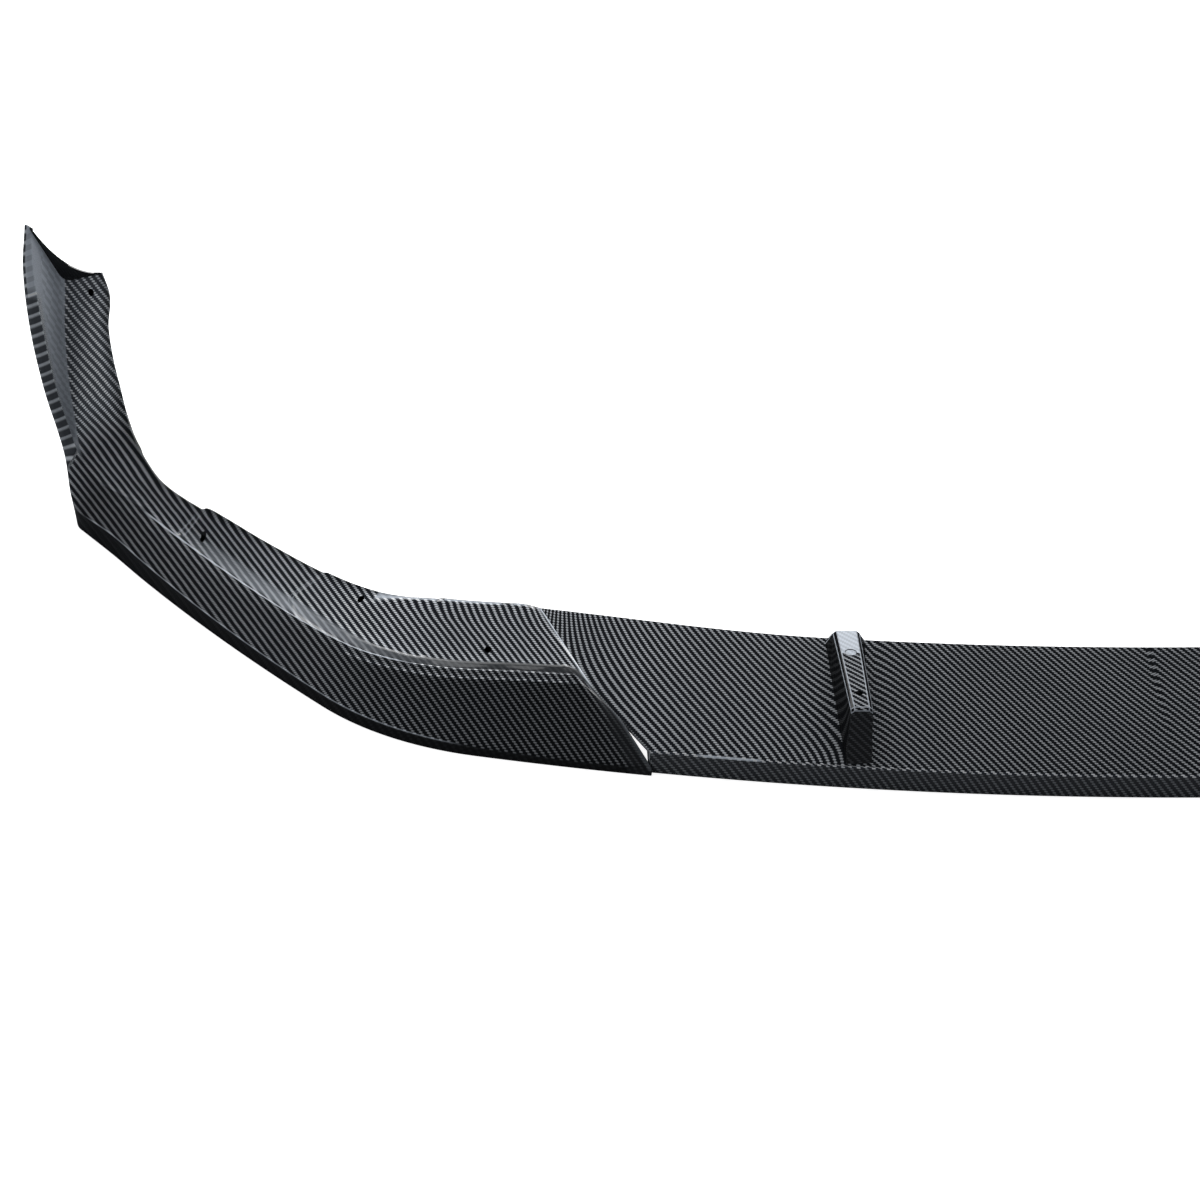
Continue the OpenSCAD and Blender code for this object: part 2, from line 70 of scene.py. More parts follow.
class SplitterSizes(bpy.types.PropertyGroup):
    wall: size("Wall", "Thickness of every moulded wall", 0.003)
    seat_gap: size("Seat gap", "Clearance between the sections where they overlap", 0.0003)
    face_h: size("Front face", "Height of the upright front face", 0.018)
    draft: size("Draft", "Distance that the front face leans back", 0.0015)
    run: size("Blade depth", "Depth of the blade in the middle", 0.115)
    rear_h: size("Rear height", "Height of the blade's rear edge in the middle", 0.055)
    face_round: size("Front rounding", "Rounding along the top of the front face", 0.0025)
    rib_x: size("Rib place", "Distance of each rib from the middle", 0.2265)
    rib_h: size("Rib height", "Height of the rib's level top", 0.064)
    joint_x: size("Joint place", "Distance of the joint from the middle, at the front edge", 0.385)
    proud: size("Corner proud", "How far the corner stands in front of the centre", 0.004)
    crest_bevel: size("Crest bevel", "Width of the bevel below the corner's crest", 0.007)
    winglet_h: size("Winglet height", "Height of the winglet's tip", 0.248)
    hole_d: size("Hole", "Diameter of the screw holes", 0.0056)
    edge_round: size("Edge rounding", "Rounding on the cut edges of the walls", 0.0007)
    mesh_step: size("Mesh step", "Distance between the sections of the mesh", 0.004)


class SplitterFinish(bpy.types.PropertyGroup):
    light_tow: tint("Light yarn", "Colour of the yarn that catches the light", (0.245, 0.256, 0.270))
    dark_tow: tint("Dark yarn", "Colour of the yarn that runs the other way", (0.006, 0.007, 0.009))
    # Smooth hollows also give the base colour of the painted highlights, which the zone map scales up
    smooth_cloth: tint("Smooth hollows", "Colour where the cloth is drawn smooth", (0.066, 0.071, 0.078))
    steel: tint("Screw steel", "Colour of the joint screws", (0.55, 0.55, 0.56))
    floor: tint("Floor", "Colour of the floor", (0.82, 0.82, 0.82))


# Form of the lip, in mm

# Section rails of the corner, from the joint (0) to the outer corner (1): place, run, rise
FACE = [[0, 1, 6], [0.1, 1, 6], [0.3, 1.5, 9], [0.6, 2, 12], [0.85, 2, 17], [1, 2, 20]]
CREST = [[0, 49, 49], [0.12, 45, 47], [0.28, 36, 43], [0.42, 31, 38], [0.62, 31, 35], [0.76, 30, 35],
         [0.84, 28, 37], [0.94, 24, 41], [1, 22, 43]]
VALLEY = [[0, 67, 40], [0.12, 62, 39], [0.28, 53, 35], [0.42, 48, 31], [0.62, 48, 30], [0.74, 44, 32],
          [0.84, 37, 38], [0.94, 34, 43], [1, 34, 45]]
REAR = [[0, 119.5, 58], [0.12, 115.5, 57], [0.24, 103, 57.5], [0.3, 94.5, 56.5], [0.38, 81.5, 53],
        [0.47, 72, 53], [0.65, 64, 54], [0.8, 54, 59.5], [0.822, 52.5, 57.5], [0.92, 46.5, 61], [1, 46, 65]]
# Shallow steps across the flange: place, rise, spread
STEPS = [[0.244, -1, 0.012], [0.49, -2, 0.012], [0.808, -2, 0.014]]
# Round the outer corner and up the winglet (1 to 2): place, then x, y, z from rail to rail
FIN = [[1.04, 6, -13, 19], [1.08, -1, -5, 20], [1.12, -5, 2, 22], [1.2, -10, 14, 30], [1.33, -18.5, 42, 47],
       [1.45, -23.3, 48, 69], [1.6, -32.2, 54, 110], [1.75, -39.3, 64, 162], [1.9, -42, 79, 212], [2, -38, 90, 248]]
LIP = [[1.04, 0, 1, -20], [1.08, -1, 3, -21], [1.12, -1, 6, -22], [1.2, -1, 10, -22], [1.33, 0, 12, -16],
       [1.45, 0, 16, -10], [1.6, 1, 18, -7], [1.75, 1, 18, -5], [1.9, 1, 17, -6], [2, 1, 16, -9]]
STRIP = [[1.04, 21, 7, 23], [1.08, 20, 9, 24], [1.12, 17, 11, 23], [1.2, 12, 12, 19], [1.33, 8, 4, 9],
         [1.45, 8, 2, 3], [1.6, 9, 2, -2], [1.75, 10, 1, -2], [1.9, 8, 0, 0], [2, 4.5, 1, -2]]
FIN_FACE = [[1.04, -5, 12, 2], [1.08, -5, 12, 2], [1.12, -5, 11, 3], [1.2, -4, 10, 4], [1.33, 3, 5, 6],
            [1.45, 6, 9, 2], [1.6, 10, 17, -2], [1.75, 13, 27, -14], [1.9, 19, 25, -34], [2, 18, 19, -57]]
FLANGE = [[1.04, 40.5, -8, 27], [1.08, 44.5, -10, 29], [1.12, 48.5, -14, 30], [1.2, 52, -17, 32],
          [1.33, 50, -18, 37], [1.45, 47, -16, 40], [1.6, 44, -15, 31], [1.75, 42.4, -17, 14], [1.9, 42, -13, 4],
          [1.94, 43.3, -11, 5], [1.97, 44, -10, 6.5], [1.985, 41.5, -9, 8.5], [2, 36, -8, 11]]
# Screw holes of the left flange, from the middle of the lip; the one in the winglet faces the rear
FLANGE_HOLES = [(-494.05, -136.0, 46.8), (-596.35, -67.25, 50.5), (-741.85, 55.77, 38.9)]
WING_HOLE = (-860.25, 247.4, 182.9)
# Half the length of the tools that cut them
HOLE_REACH, WING_HOLE_REACH = 9, 12
# Cloth on the inner side: how smooth, how light
INNER_ZONE = (0.3, 0.08)
# Lamps, in m: name, place, target, width, height, strength, whether the gloss shows them
LAMPS = [("top", (-0.2, 1.8, 2.5), (-0.2, 0, 0), 3.6, 1.8, 5.5, False),
         ("side", (-3.0, -0.8, 0.7), (-0.8, 0, 0.1), 1.6, 1.0, 2.5, False),
         ("back", (-0.2, 2.6, 1.42), (-0.3, 0, 1.42), 5.0, 0.66, 4.0, True)]
# Camera: place in m, with y from the lip's foremost point, tilt in degrees, lens in mm
CAMERA_AT, CAMERA_TILT, CAMERA_LENS = (-0.41009, -1.13163, 0.815), 60, 58.87
# The floor lies a little under the bottom edges, in m
FLOOR_SIZE, FLOOR_DROP = 9, 0.0004


def mix(a, b, t):
    return a + (b - a) * t


def ease(t):
    t = np.clip(t, 0, 1)
    return t * t * (3 - 2 * t)


def unit(v):
    return v / np.maximum(np.linalg.norm(v, axis=-1, keepdims=True), 1e-9)


def reach(a, b, r):
    """Step from b towards a, never past the middle."""
    return unit(a - b) * np.minimum(r, 0.45 * np.linalg.norm(a - b, axis=-1))[..., None]


def rounded(a, p, b, r, k):
    """The corner a-p-b rounded with k + 1 points."""
    pa, pb = p + reach(a, p, r), p + reach(b, p, r)
    return [pa * (1 - t) ** 2 + p * 2 * t * (1 - t) + pb * t * t for t in np.linspace(0, 1, k + 1)]


def between(a, b, n):
    return [mix(a, b, i / n) for i in range(1, n)]


def curve(rows, t):
    """Smooth curve through rows of [place, values...]."""
    rows, t = np.array(rows, float), np.atleast_1d(np.asarray(t, float))
    ahead = rows[np.minimum(np.arange(len(rows)) + 1, len(rows) - 1)]
    back = rows[np.maximum(np.arange(len(rows)) - 1, 0)]
    slope = (ahead - back) / (ahead - back)[:, :1]
    i = np.clip(np.searchsorted(rows[:, 0], t, side="right") - 1, 0, len(rows) - 2)
    w = (rows[i + 1, 0] - rows[i, 0])[:, None]
    k = np.clip((t[:, None] - rows[i, :1]) / w, 0, 1)
    p = (rows[i] * (2 * k**3 - 3 * k * k + 1) + slope[i] * w * (k**3 - 2 * k * k + k)
         + rows[i + 1] * (3 * k * k - 2 * k**3) + slope[i + 1] * w * (k**3 - k * k))
    return p[:, 1:]


def arc(start, radius, a, b):
    return start[0] - radius * (np.sin(b) - sin(a)), start[1] + radius * (cos(a) - np.cos(b))


class LipForm:
    """The lip's rails and sections, in mm, with the foremost point of the centre at y = 0."""
    nose_r, bend_r, flank_r = 2280, 245, 2450
    nose_a, bend_a, flank_a = radians(12.7), radians(45), radians(54)
    more_run, more_h, grow_from = 4, 3, 260
    slant, slope_w, tongue, toe, end_gap = radians(27.5), 16, 70, 12, 2
    tongue_front, tongue_rear = 45, 105
    rail_stop, rear_stop, ahead, ahead_reach, wing_from = 27, 51, 0.058, 0.2, 0.85
    valley_round, wing_round, roll_w, roll_end = 8, 10, 6, (0.33, 0.41)
    rib_front_h, rib_level, rib_back_w, rib_front_w = 62.5, 34, 20, 15.5
    rib_flare, rib_front_flare, rib_setback, rib_lean, rib_back_in = 5.5, 1.5, 4, 4, 1
    rib_bevel, rib_edge, rib_wall, rib_hole_in = 2.5, 0.45, 2.5, 20
    recess_y, recess_r, recess_top_r, recess_deep = 93, 4, 4.4, 0.5
    screw_d, screw_len, screw_pitch, screw_run, screw_in = 4, 13, 32, 54, 9
    boss_wall, boss_in, boss_place, pad_rise = 3.5, 0.5, 0.06, 0.3
    pilot_slack, clear_slack, tip_room = 0.05, 0.25, 0.4
    cap_r, cap_edge, cap_h, cap_lift = 6.5, 0.4, 1.2, 0.05
    # Rough lengths of the front part and the winglet, for the mesh steps
    front_len, wing_len = 640, 250

    def __init__(self, sizes):
        for name in ("wall", "seat_gap", "face_h", "draft", "run", "rear_h", "face_round", "rib_x", "rib_h",
                     "joint_x", "proud", "crest_bevel", "winglet_h", "hole_d", "edge_round", "mesh_step"):
            setattr(self, name, getattr(sizes, name) / MM)
        self.nose_len = self.nose_r * self.nose_a
        self.bend_len = self.bend_r * (self.bend_a - self.nose_a)
        self.edge_len = self.nose_len + self.bend_len + self.flank_r * (self.flank_a - self.bend_a)
        self.nose_cy = self.nose_r - self.proud
        self.nose_end = arc((0, -self.proud), self.nose_r, 0, self.nose_a)
        self.bend_end = arc(self.nose_end, self.bend_r, self.nose_a, self.bend_a)
        self.corner_pt = arc(self.bend_end, self.flank_r, self.bend_a, self.flank_a)
        self.slope_u = self.slope_w / (self.edge_len - self.joint_s(0))
        self.skin_slope = (self.rear_h - self.face_h) / (self.run - self.draft)
        self.wall_v = self.wall * sqrt(1 + self.skin_slope**2)
        self.fin = [row[:3] + [row[3] if row[0] < 2 else self.winglet_h] for row in FIN]
        places = np.array([0.75, 0.85, 0.94] + [r[0] for r in FIN])
        front, wing = self.front_keys(np.minimum(places, 1)), self.wing_keys(np.maximum(places, 1.04))
        self.rails = [np.column_stack([places, np.where((places <= 1)[:, None], f, w)]) for f, w in zip(front, wing)]
        # The frame puts the middle of the lip's depth over the origin
        self.shift = np.array([0, -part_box("left_corner")[1][1] / MM, 0])

    def inside(self, s, run, rise):
        """Point at s along the front edge, run inside it and rise up."""
        s = np.asarray(s, float)
        h = [s / self.nose_r, self.nose_a + (s - self.nose_len) / self.bend_r,
             self.bend_a + (s - self.nose_len - self.bend_len) / self.flank_r]
        part = [arc((0, -self.proud), self.nose_r, 0, h[0]), arc(self.nose_end, self.bend_r, self.nose_a, h[1]),
                arc(self.bend_end, self.flank_r, self.bend_a, h[2])]
        where = [s < self.nose_len, s < self.nose_len + self.bend_len]
        x, y, h = (np.select(where, v[:2], v[2]) for v in ([p[0] for p in part], [p[1] for p in part], h))
        return np.stack([x + run * np.sin(h), y + run * np.cos(h), rise + 0 * x], -1)

    def joint_s(self, run):
        """Distance along the edge of the point of the joint line that lies run inside."""
        d = np.array([-sin(self.slant), cos(self.slant)])
        a, r = asin(self.joint_x / self.nose_r), self.nose_r - run
        q = -self.nose_r * np.array([sin(a), cos(a)])
        b = q @ d
        p = q + d * (-b - sqrt(b * b - q @ q + r * r))
        return asin(-p[0] / r) * self.nose_r

    def rear_edge(self, s):
        """Depth and height of the centre's rear edge; both grow towards the joint."""
        grown = ease((np.abs(s) - self.grow_from) / (self.joint_s(self.run) - self.grow_from))
        return self.run + self.more_run * grown, self.rear_h + self.more_h * grown

    def centre_skin(self, x, y):
        """Height of the centre's blade over a point of the plan."""
        s = np.arctan2(x, self.nose_cy - y) * self.nose_r
        depth = self.nose_cy - np.hypot(x, y - self.nose_cy)
        run, high = self.rear_edge(s)
        return mix(self.face_h, high, (depth - self.draft) / (run - self.draft))

    def front_keys(self, u):
        def on_rail(rows, at, stop):
            v = curve(rows, at)
            return self.inside(mix(self.joint_s(rows[0][1]), self.edge_len - stop, at), v[:, 0], v[:, 1])
        face = curve(FACE, u)
        s = mix(self.joint_s(0) - self.toe, self.edge_len - self.rail_stop, u)
        ahead = self.ahead * np.maximum(0, 1 - np.abs(u - STEPS[1][0]) / self.ahead_reach)
        return [self.inside(s, 0, 0), self.inside(s, face[:, 0], face[:, 1]), on_rail(CREST, u, self.rail_stop),
                on_rail(VALLEY, u + ahead, self.rail_stop), on_rail(REAR, u, self.rear_stop)]

    def wing_keys(self, u):
        t = np.array([self.corner_pt[0], self.corner_pt[1], 0]) + curve(self.fin, u)
        c = t + curve(STRIP, u)
        v = c + curve(FIN_FACE, u)
        return [t + curve(LIP, u), t, c, v, v + curve(FLANGE, u)]

    def keys(self, u):
        """The five corners of the section at each place: bottom edge, face top, crest, valley, rear edge."""
        front = self.front_keys(np.minimum(u, 1))
        keys = [np.where((u < self.wing_from)[:, None], f, curve(r, u)) for f, r in zip(front, self.rails)]
        up = sum(rise * (np.clip((u - at) / spread, 0, 1) - 1) for at, rise, spread in STEPS) * (u < 1)
        keys[0][:, 2] = np.maximum(0, keys[0][:, 2])
        for k in (3, 4):
            keys[k] = keys[k] + np.stack([0 * up, 0 * up, up], -1)
        return np.stack(keys, 1)

    def behind(self, g, depth):
        """Each corner of the sections moved in by the wall; the bottom edge stays level."""
        t = np.empty_like(g)
        t[1:-1], t[0], t[-1] = g[2:] - g[:-2], g[1] - g[0], g[-1] - g[-2]
        seg, m = np.diff(g, axis=1), g.shape[1]
        a = unit(np.cross(seg[:, [max(j, 1) - 1 for j in range(m)]], t))
        b = unit(np.cross(seg[:, [min(j, m - 2) for j in range(m)]], t))
        q = g - (a + b) / np.maximum(0.5, 1 + (a * b).sum(-1, keepdims=True)) * depth[:, None, None]
        q[:, 0, 2] = g[:, 0, 2]
        return q

    def across(self, u, keys, depth, lift):
        """Points across the corner with their places, 0 at the bottom edge to 4 at the rear edge."""
        k = [keys[:, j] for j in range(5)]
        hollow = depth + mix(self.valley_round, self.wing_round, np.clip((u - 1.2) / 0.25, 0, 1))
        face = rounded(k[0], k[1], k[2], np.maximum(0.3, self.face_round - depth), 6)
        mid = mix(k[1], k[2], 0.5)
        c0, c1 = k[2] + reach(k[1], k[2], self.crest_bevel), k[2] + reach(k[3], k[2], 2)
        low, high = rounded(mid, c0, c1, 0.9, 4), rounded(c0, c1, k[3], 0.9, 4)
        valley = rounded(k[2], k[3], k[4], hollow, 12)
        share = (1 - np.clip((u - self.roll_end[0]) / (self.roll_end[1] - self.roll_end[0]), 0, 1))[:, None]
        width = np.linalg.norm(k[4] - k[3], axis=-1)[:, None]
        fold = mix(k[3], k[4], mix(0.55, 1 - self.roll_w / width, share))
        fold = np.column_stack([fold[:, :2], mix(fold[:, 2], k[4][:, 2] - 0.3, share[:, 0])])
        crease = rounded(k[3], fold, k[4], 1.0, 3)
        runs = [([k[0]], [0]), (between(k[0], face[0], 4), [0.25, 0.5, 0.75]), (face, np.linspace(0.9, 1.1, 7)),
                (between(face[-1], low[0], 8), np.linspace(1.1, 1.8, 9)[1:-1]), (low, np.linspace(1.8, 1.84, 5)),
                (between(low[-1], high[0], 2), [1.9]), (high, np.linspace(1.96, 2, 5)),
                (between(high[-1], valley[0], 3), [2.15, 2.3]), (valley, np.linspace(2.45, 3.2, 13)),
                (between(valley[-1], crease[0], 6), np.linspace(3.2, 3.75, 7)[1:-1]),
                (crease, np.linspace(3.75, 3.8, 4)), (between(crease[-1], k[4], 2), [3.9]), ([k[4]], [4])]
        settle = np.clip(u / self.slope_u, 0, 1)
        points = []
        for p in (p for run in runs for p in run[0]):
            low_z = np.minimum(p[:, 2], self.centre_skin(p[:, 0], p[:, 1]) + lift)
            points.append(np.column_stack([p[:, :2], mix(low_z, p[:, 2], settle)]))
        return np.stack(points, 1), np.concatenate([run[1] for run in runs])

    def stations(self):
        near = 1.2 / self.front_len  # beside each step, so that its edges stay crisp
        marks = {0, self.slope_u, 1, 2}
        for at, _, spread in STEPS:
            marks |= {at - near, at, at + near, at + spread - near, at + spread, at + spread + near}
        marks, out = sorted(marks), [0.0]
        for a, b in zip(marks, marks[1:]):
            length = self.front_len if b <= 1 else self.wing_len
            n = max(1, round((b - a) * length / self.mesh_step))
            out += [mix(a, b, i / n) for i in range(1, n + 1)]
        return np.array(out)

    def corner(self):
        """Stations, outer and inner skin, and the places across them."""
        u = self.stations()
        keys = self.keys(u)
        depth = np.minimum(self.wall, 0.42 * np.linalg.norm(keys[:, 2] - keys[:, 1], axis=-1))
        outer, places = self.across(u, keys, 0 * depth, self.wall_v + self.seat_gap)
        inner, _ = self.across(u, self.behind(keys, depth), depth, self.seat_gap)
        return u, outer, inner, places

    def centre(self):
        """Outer and inner skin of the centre section."""
        end = self.joint_s(self.run + self.proud) + self.tongue
        n = round(end / self.mesh_step / 1.2)
        s = np.linspace(-end, end, 2 * n + 1)
        run, high = self.rear_edge(s)
        a = np.abs(s)
        keys = np.stack([self.inside(a, self.proud, 0), self.inside(a, self.proud + self.draft, self.face_h),
                         self.inside(a, self.proud + run, high)], 1)
        keys[:, :, 0] *= np.where(s < 0, -1, 1)[:, None]
        deep = self.behind(keys, np.full(len(s), self.wall))

        def skin(k, r):
            k = [k[:, j] for j in range(3)]
            face = rounded(k[0], k[1], k[2], r, 7)
            return np.stack([k[0]] + between(k[0], face[0], 3) + face + between(face[-1], k[2], 14) + [k[2]], 1)
        return skin(keys, self.face_round), skin(deep, max(0.3, self.face_round - self.wall))

    def screw_points(self):
        run = self.screw_run + self.proud
        return [self.inside(self.joint_s(run) + self.slope_w + self.screw_in + i * self.screw_pitch, run, 0)
                for i in (0, 1)]

    def joint_pad(self):
        """Radius of the pads round the joint screws, and the pads' top and underside."""
        r = self.screw_d / 2 + self.boss_wall
        rise = self.skin_slope * r + self.pad_rise
        x, y, _ = self.screw_points()[0]
        top = float(self.centre_skin(x, y)) + rise
        return r, top, top - 2 * rise - self.wall_v

    def centre_y(self, x, run):
        """Place of the centre's line that lies run inside its front edge."""
        return self.nose_cy - sqrt((self.nose_cy - run) ** 2 - x * x)

    def rib_ends(self):
        """Rear end and front end of a rib's top."""
        return (self.centre_y(self.rib_x, self.run) - self.rib_back_in,
                self.centre_y(self.rib_x, self.rib_setback) + self.rib_lean)


# Lie of the cloth

def corner_lay(p):
    """Turns of the twill's stripes at points of a left corner, across the stripes and along them."""
    x, y, z = p[..., 0], p[..., 1], p[..., 2]
    lift = ease((z - 55) / 35)
    across = (0.1815 * x + 0.0934 * y + 0.0973 * z + lift * (0.0047 * (x + 850) + 0.0321 * (y - 440))
              - 0.026 * np.maximum(0, z - 55) + ((x + 600) ** 2 * 0.0412 + (x + 600) * (y - 150) * 0.02) / 500)
    along = -0.105 * x + 0.185 * y + 0.06 * z
    return np.stack([across, along], -1)


def fin_lay(p):
    """The same on the front edge of the fin, where the cloth is folded over in broad bars."""
    return np.stack([0.115 * p[..., 2] - 0.03 * p[..., 0], 0.25 + 0 * p[..., 0]], -1)


def centre_lay(form, p):
    """The same on the centre section, where the cloth is drawn aside round the ribs."""
    s = np.arctan2(-p[..., 0], form.nose_cy - p[..., 1]) * form.nose_r
    depth = form.nose_cy - np.hypot(p[..., 0], p[..., 1] - form.nose_cy)
    up_blade = (depth - form.draft) * sqrt(1 + form.skin_slope**2)
    v = np.where(depth > form.draft + 0.5, up_blade, p[..., 2] - form.face_h)
    h = np.clip(v / 100, 0, 1.3)
    a = np.abs(s)
    # Bend of the stripes along the blade, the same on both halves
    bend = -0.054 * a**2 / 400 + 0.0462 * a**3 / 400**2 - 0.0002 * a**2 * h / 400 + 0.0111 * v * h - 0.0034 * v * h**2
    across = -0.1672 * s + 0.1418 * v + np.where(s > 0, bend, 0)
    # Near the left joint the stripes are drawn along its slanting edge
    left = form.joint_s(0) + 0.66 * v - s
    across -= 5 * np.exp(-np.maximum(left, -20) / 45) * h**3
    for side in (1, -1):
        d = (a - form.rib_x) if side > 0 else (form.rib_x - a)
        pull = 0.9367 - 13.4027 * h + 10.7089 * h * h if side > 0 else 0.5481 + 4.4929 * h - 2.4065 * h * h
        across += np.where((d > 0) & (v > 0), np.exp(-np.maximum(d - 10, 0) / 25) * pull, 0)
    return np.stack([across, 0.142 * s + 0.167 * v], -1)


# Meshes

def ring_of(outer, inner, r):
    """Closed sections round a wall: outer skin, rounded rear edge, inner skin, rounded bottom edge."""
    def rim(a0, a, b, b0):
        r_in = np.minimum(r, 0.45 * np.linalg.norm(a - b, axis=-1))
        return rounded(a0, a, b, r_in, 3), rounded(a, b, b0, r_in, 3)
    ra, rb = rim(outer[:, -2], outer[:, -1], inner[:, -1], inner[:, -2])
    fa, fb = rim(inner[:, 1], inner[:, 0], outer[:, 0], outer[:, 1])
    m = outer.shape[1]
    points = [outer[:, j] for j in range(1, m - 1)] + ra + rb + [inner[:, j] for j in range(m - 2, 0, -1)] + fa + fb
    return np.stack(points, 1)


def wall_mesh(name, ring, lay, zone, m):
    """Mesh of a wall from its closed sections; m is the number of points on each skin inside the rims."""
    n, k = ring.shape[:2]
    bm = bmesh.new()
    verts = [[bm.verts.new(p * MM) for p in row] for row in ring]
    layers = [bm.loops.layers.uv.new(title) for title in ("lay", "zone")]

    def face(cells):
        f = bm.faces.new([verts[i][j] for i, j in cells])
        for loop, (i, j) in zip(f.loops, cells):
            loop[layers[0]].uv, loop[layers[1]].uv = lay[i, j], zone[i, j]
    for i in range(n - 1):
        for j in range(k):
            q = (j + 1) % k
            face([(i, j), (i + 1, j), (i + 1, q), (i, q)])
    # Ends: the outer skin's points face the inner skin's across the rims
    outer, inner = list(range(m)), [2 * m + 7 - j for j in range(m)]
    for i in (0, n - 1):
        for j in range(m - 1):
            face([(i, outer[j]), (i, outer[j + 1]), (i, inner[j + 1]), (i, inner[j])])
        face([(i, j) for j in range(m - 1, m + 9)])
        face([(i, j % k) for j in range(2 * m + 7, 2 * m + 17)])
    bmesh.ops.recalc_face_normals(bm, faces=bm.faces)
    mesh = bpy.data.meshes.new(name)
    bm.to_mesh(mesh)
    bm.free()
    return mesh


def piece(name, mesh):
    obj = bpy.data.objects.new(name, mesh)
    bpy.context.scene.collection.objects.link(obj)
    return obj


def solid(points, faces):
    """Closed mesh from points in mm."""
    mesh = bpy.data.meshes.new("tool")
    mesh.from_pydata([tuple(np.asarray(p, float) * MM) for p in points], [], faces)
    bm = bmesh.new()
    bm.from_mesh(mesh)
    bmesh.ops.recalc_face_normals(bm, faces=bm.faces)
    bm.to_mesh(mesh)
    bm.free()
    return mesh


def loft(rings):
    n, m = len(rings), len(rings[0])
    faces = [(i * m + j, i * m + (j + 1) % m, (i + 1) * m + (j + 1) % m, (i + 1) * m + j)
             for i in range(n - 1) for j in range(m)]
    faces += [tuple(range(m))[::-1], tuple((n - 1) * m + j for j in range(m))]
    return solid([p for ring in rings for p in ring], faces)


def round_bar(at, axis, profile, sides=48):
    """Turned solid on an axis: profile of (radius, distance along the axis)."""
    axis = Vector(axis).normalized()
    side = axis.orthogonal().normalized()
    up = axis.cross(side)
    rings = [[np.array(Vector(at) + axis * d + (side * cos(t) + up * sin(t)) * r)
              for t in (2 * pi * i / sides for i in range(sides))] for r, d in profile]
    return loft(rings)


def upright_bar(at, r, low, high):
    """Upright round bar at a point of the plan."""
    return round_bar(at + np.array([0, 0, low]), (0, 0, 1), [(r, 0), (r, high - low)])


def prism(plan, low, high):
    return loft([[(p[0], p[1], z) for p in plan] for z in (low, high)])


def flipped(mesh):
    """Mirror image across the middle of the car."""
    other = mesh.copy()
    for v in other.vertices:
        v.co.x = -v.co.x
    other.flip_normals()
    return other


def moved(mesh, offset):
    for v in mesh.vertices:
        v.co += Vector(offset * MM)
    return mesh


def combine(obj, tools, operation):
    """Unites the object with simple solids, or cuts them from it."""
    joined = bmesh.new()
    for tool in tools:
        joined.from_mesh(tool)
        bpy.data.meshes.remove(tool)
    mesh = bpy.data.meshes.new("tools")
    joined.to_mesh(mesh)
    joined.free()
    tool = piece("tools", mesh)
    mod = obj.modifiers.new("combine", "BOOLEAN")
    mod.operation, mod.solver, mod.object = operation, "EXACT", tool
    bpy.context.view_layer.update()
    made = bpy.data.meshes.new_from_object(obj.evaluated_get(bpy.context.evaluated_depsgraph_get()))
    obj.modifiers.clear()
    old, obj.data = obj.data, made
    made.name = obj.name
    bpy.data.meshes.remove(old)
    bpy.data.objects.remove(tool)
    bpy.data.meshes.remove(mesh)


def shaded(obj, angle=32):
    obj.data.shade_smooth()
    obj.data.set_sharp_from_angle(angle=radians(angle))


def finished(obj, material, node):
    obj.data.materials.clear()
    obj.data.materials.append(material)
    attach(obj, "root")
    if node:
        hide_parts(node)


def within(v, low, high, soft=1e-4):
    """1 between low and high, fading over soft on both sides."""
    return ease((v - low) / soft + 0.5) * (1 - ease((v - high) / soft + 0.5))


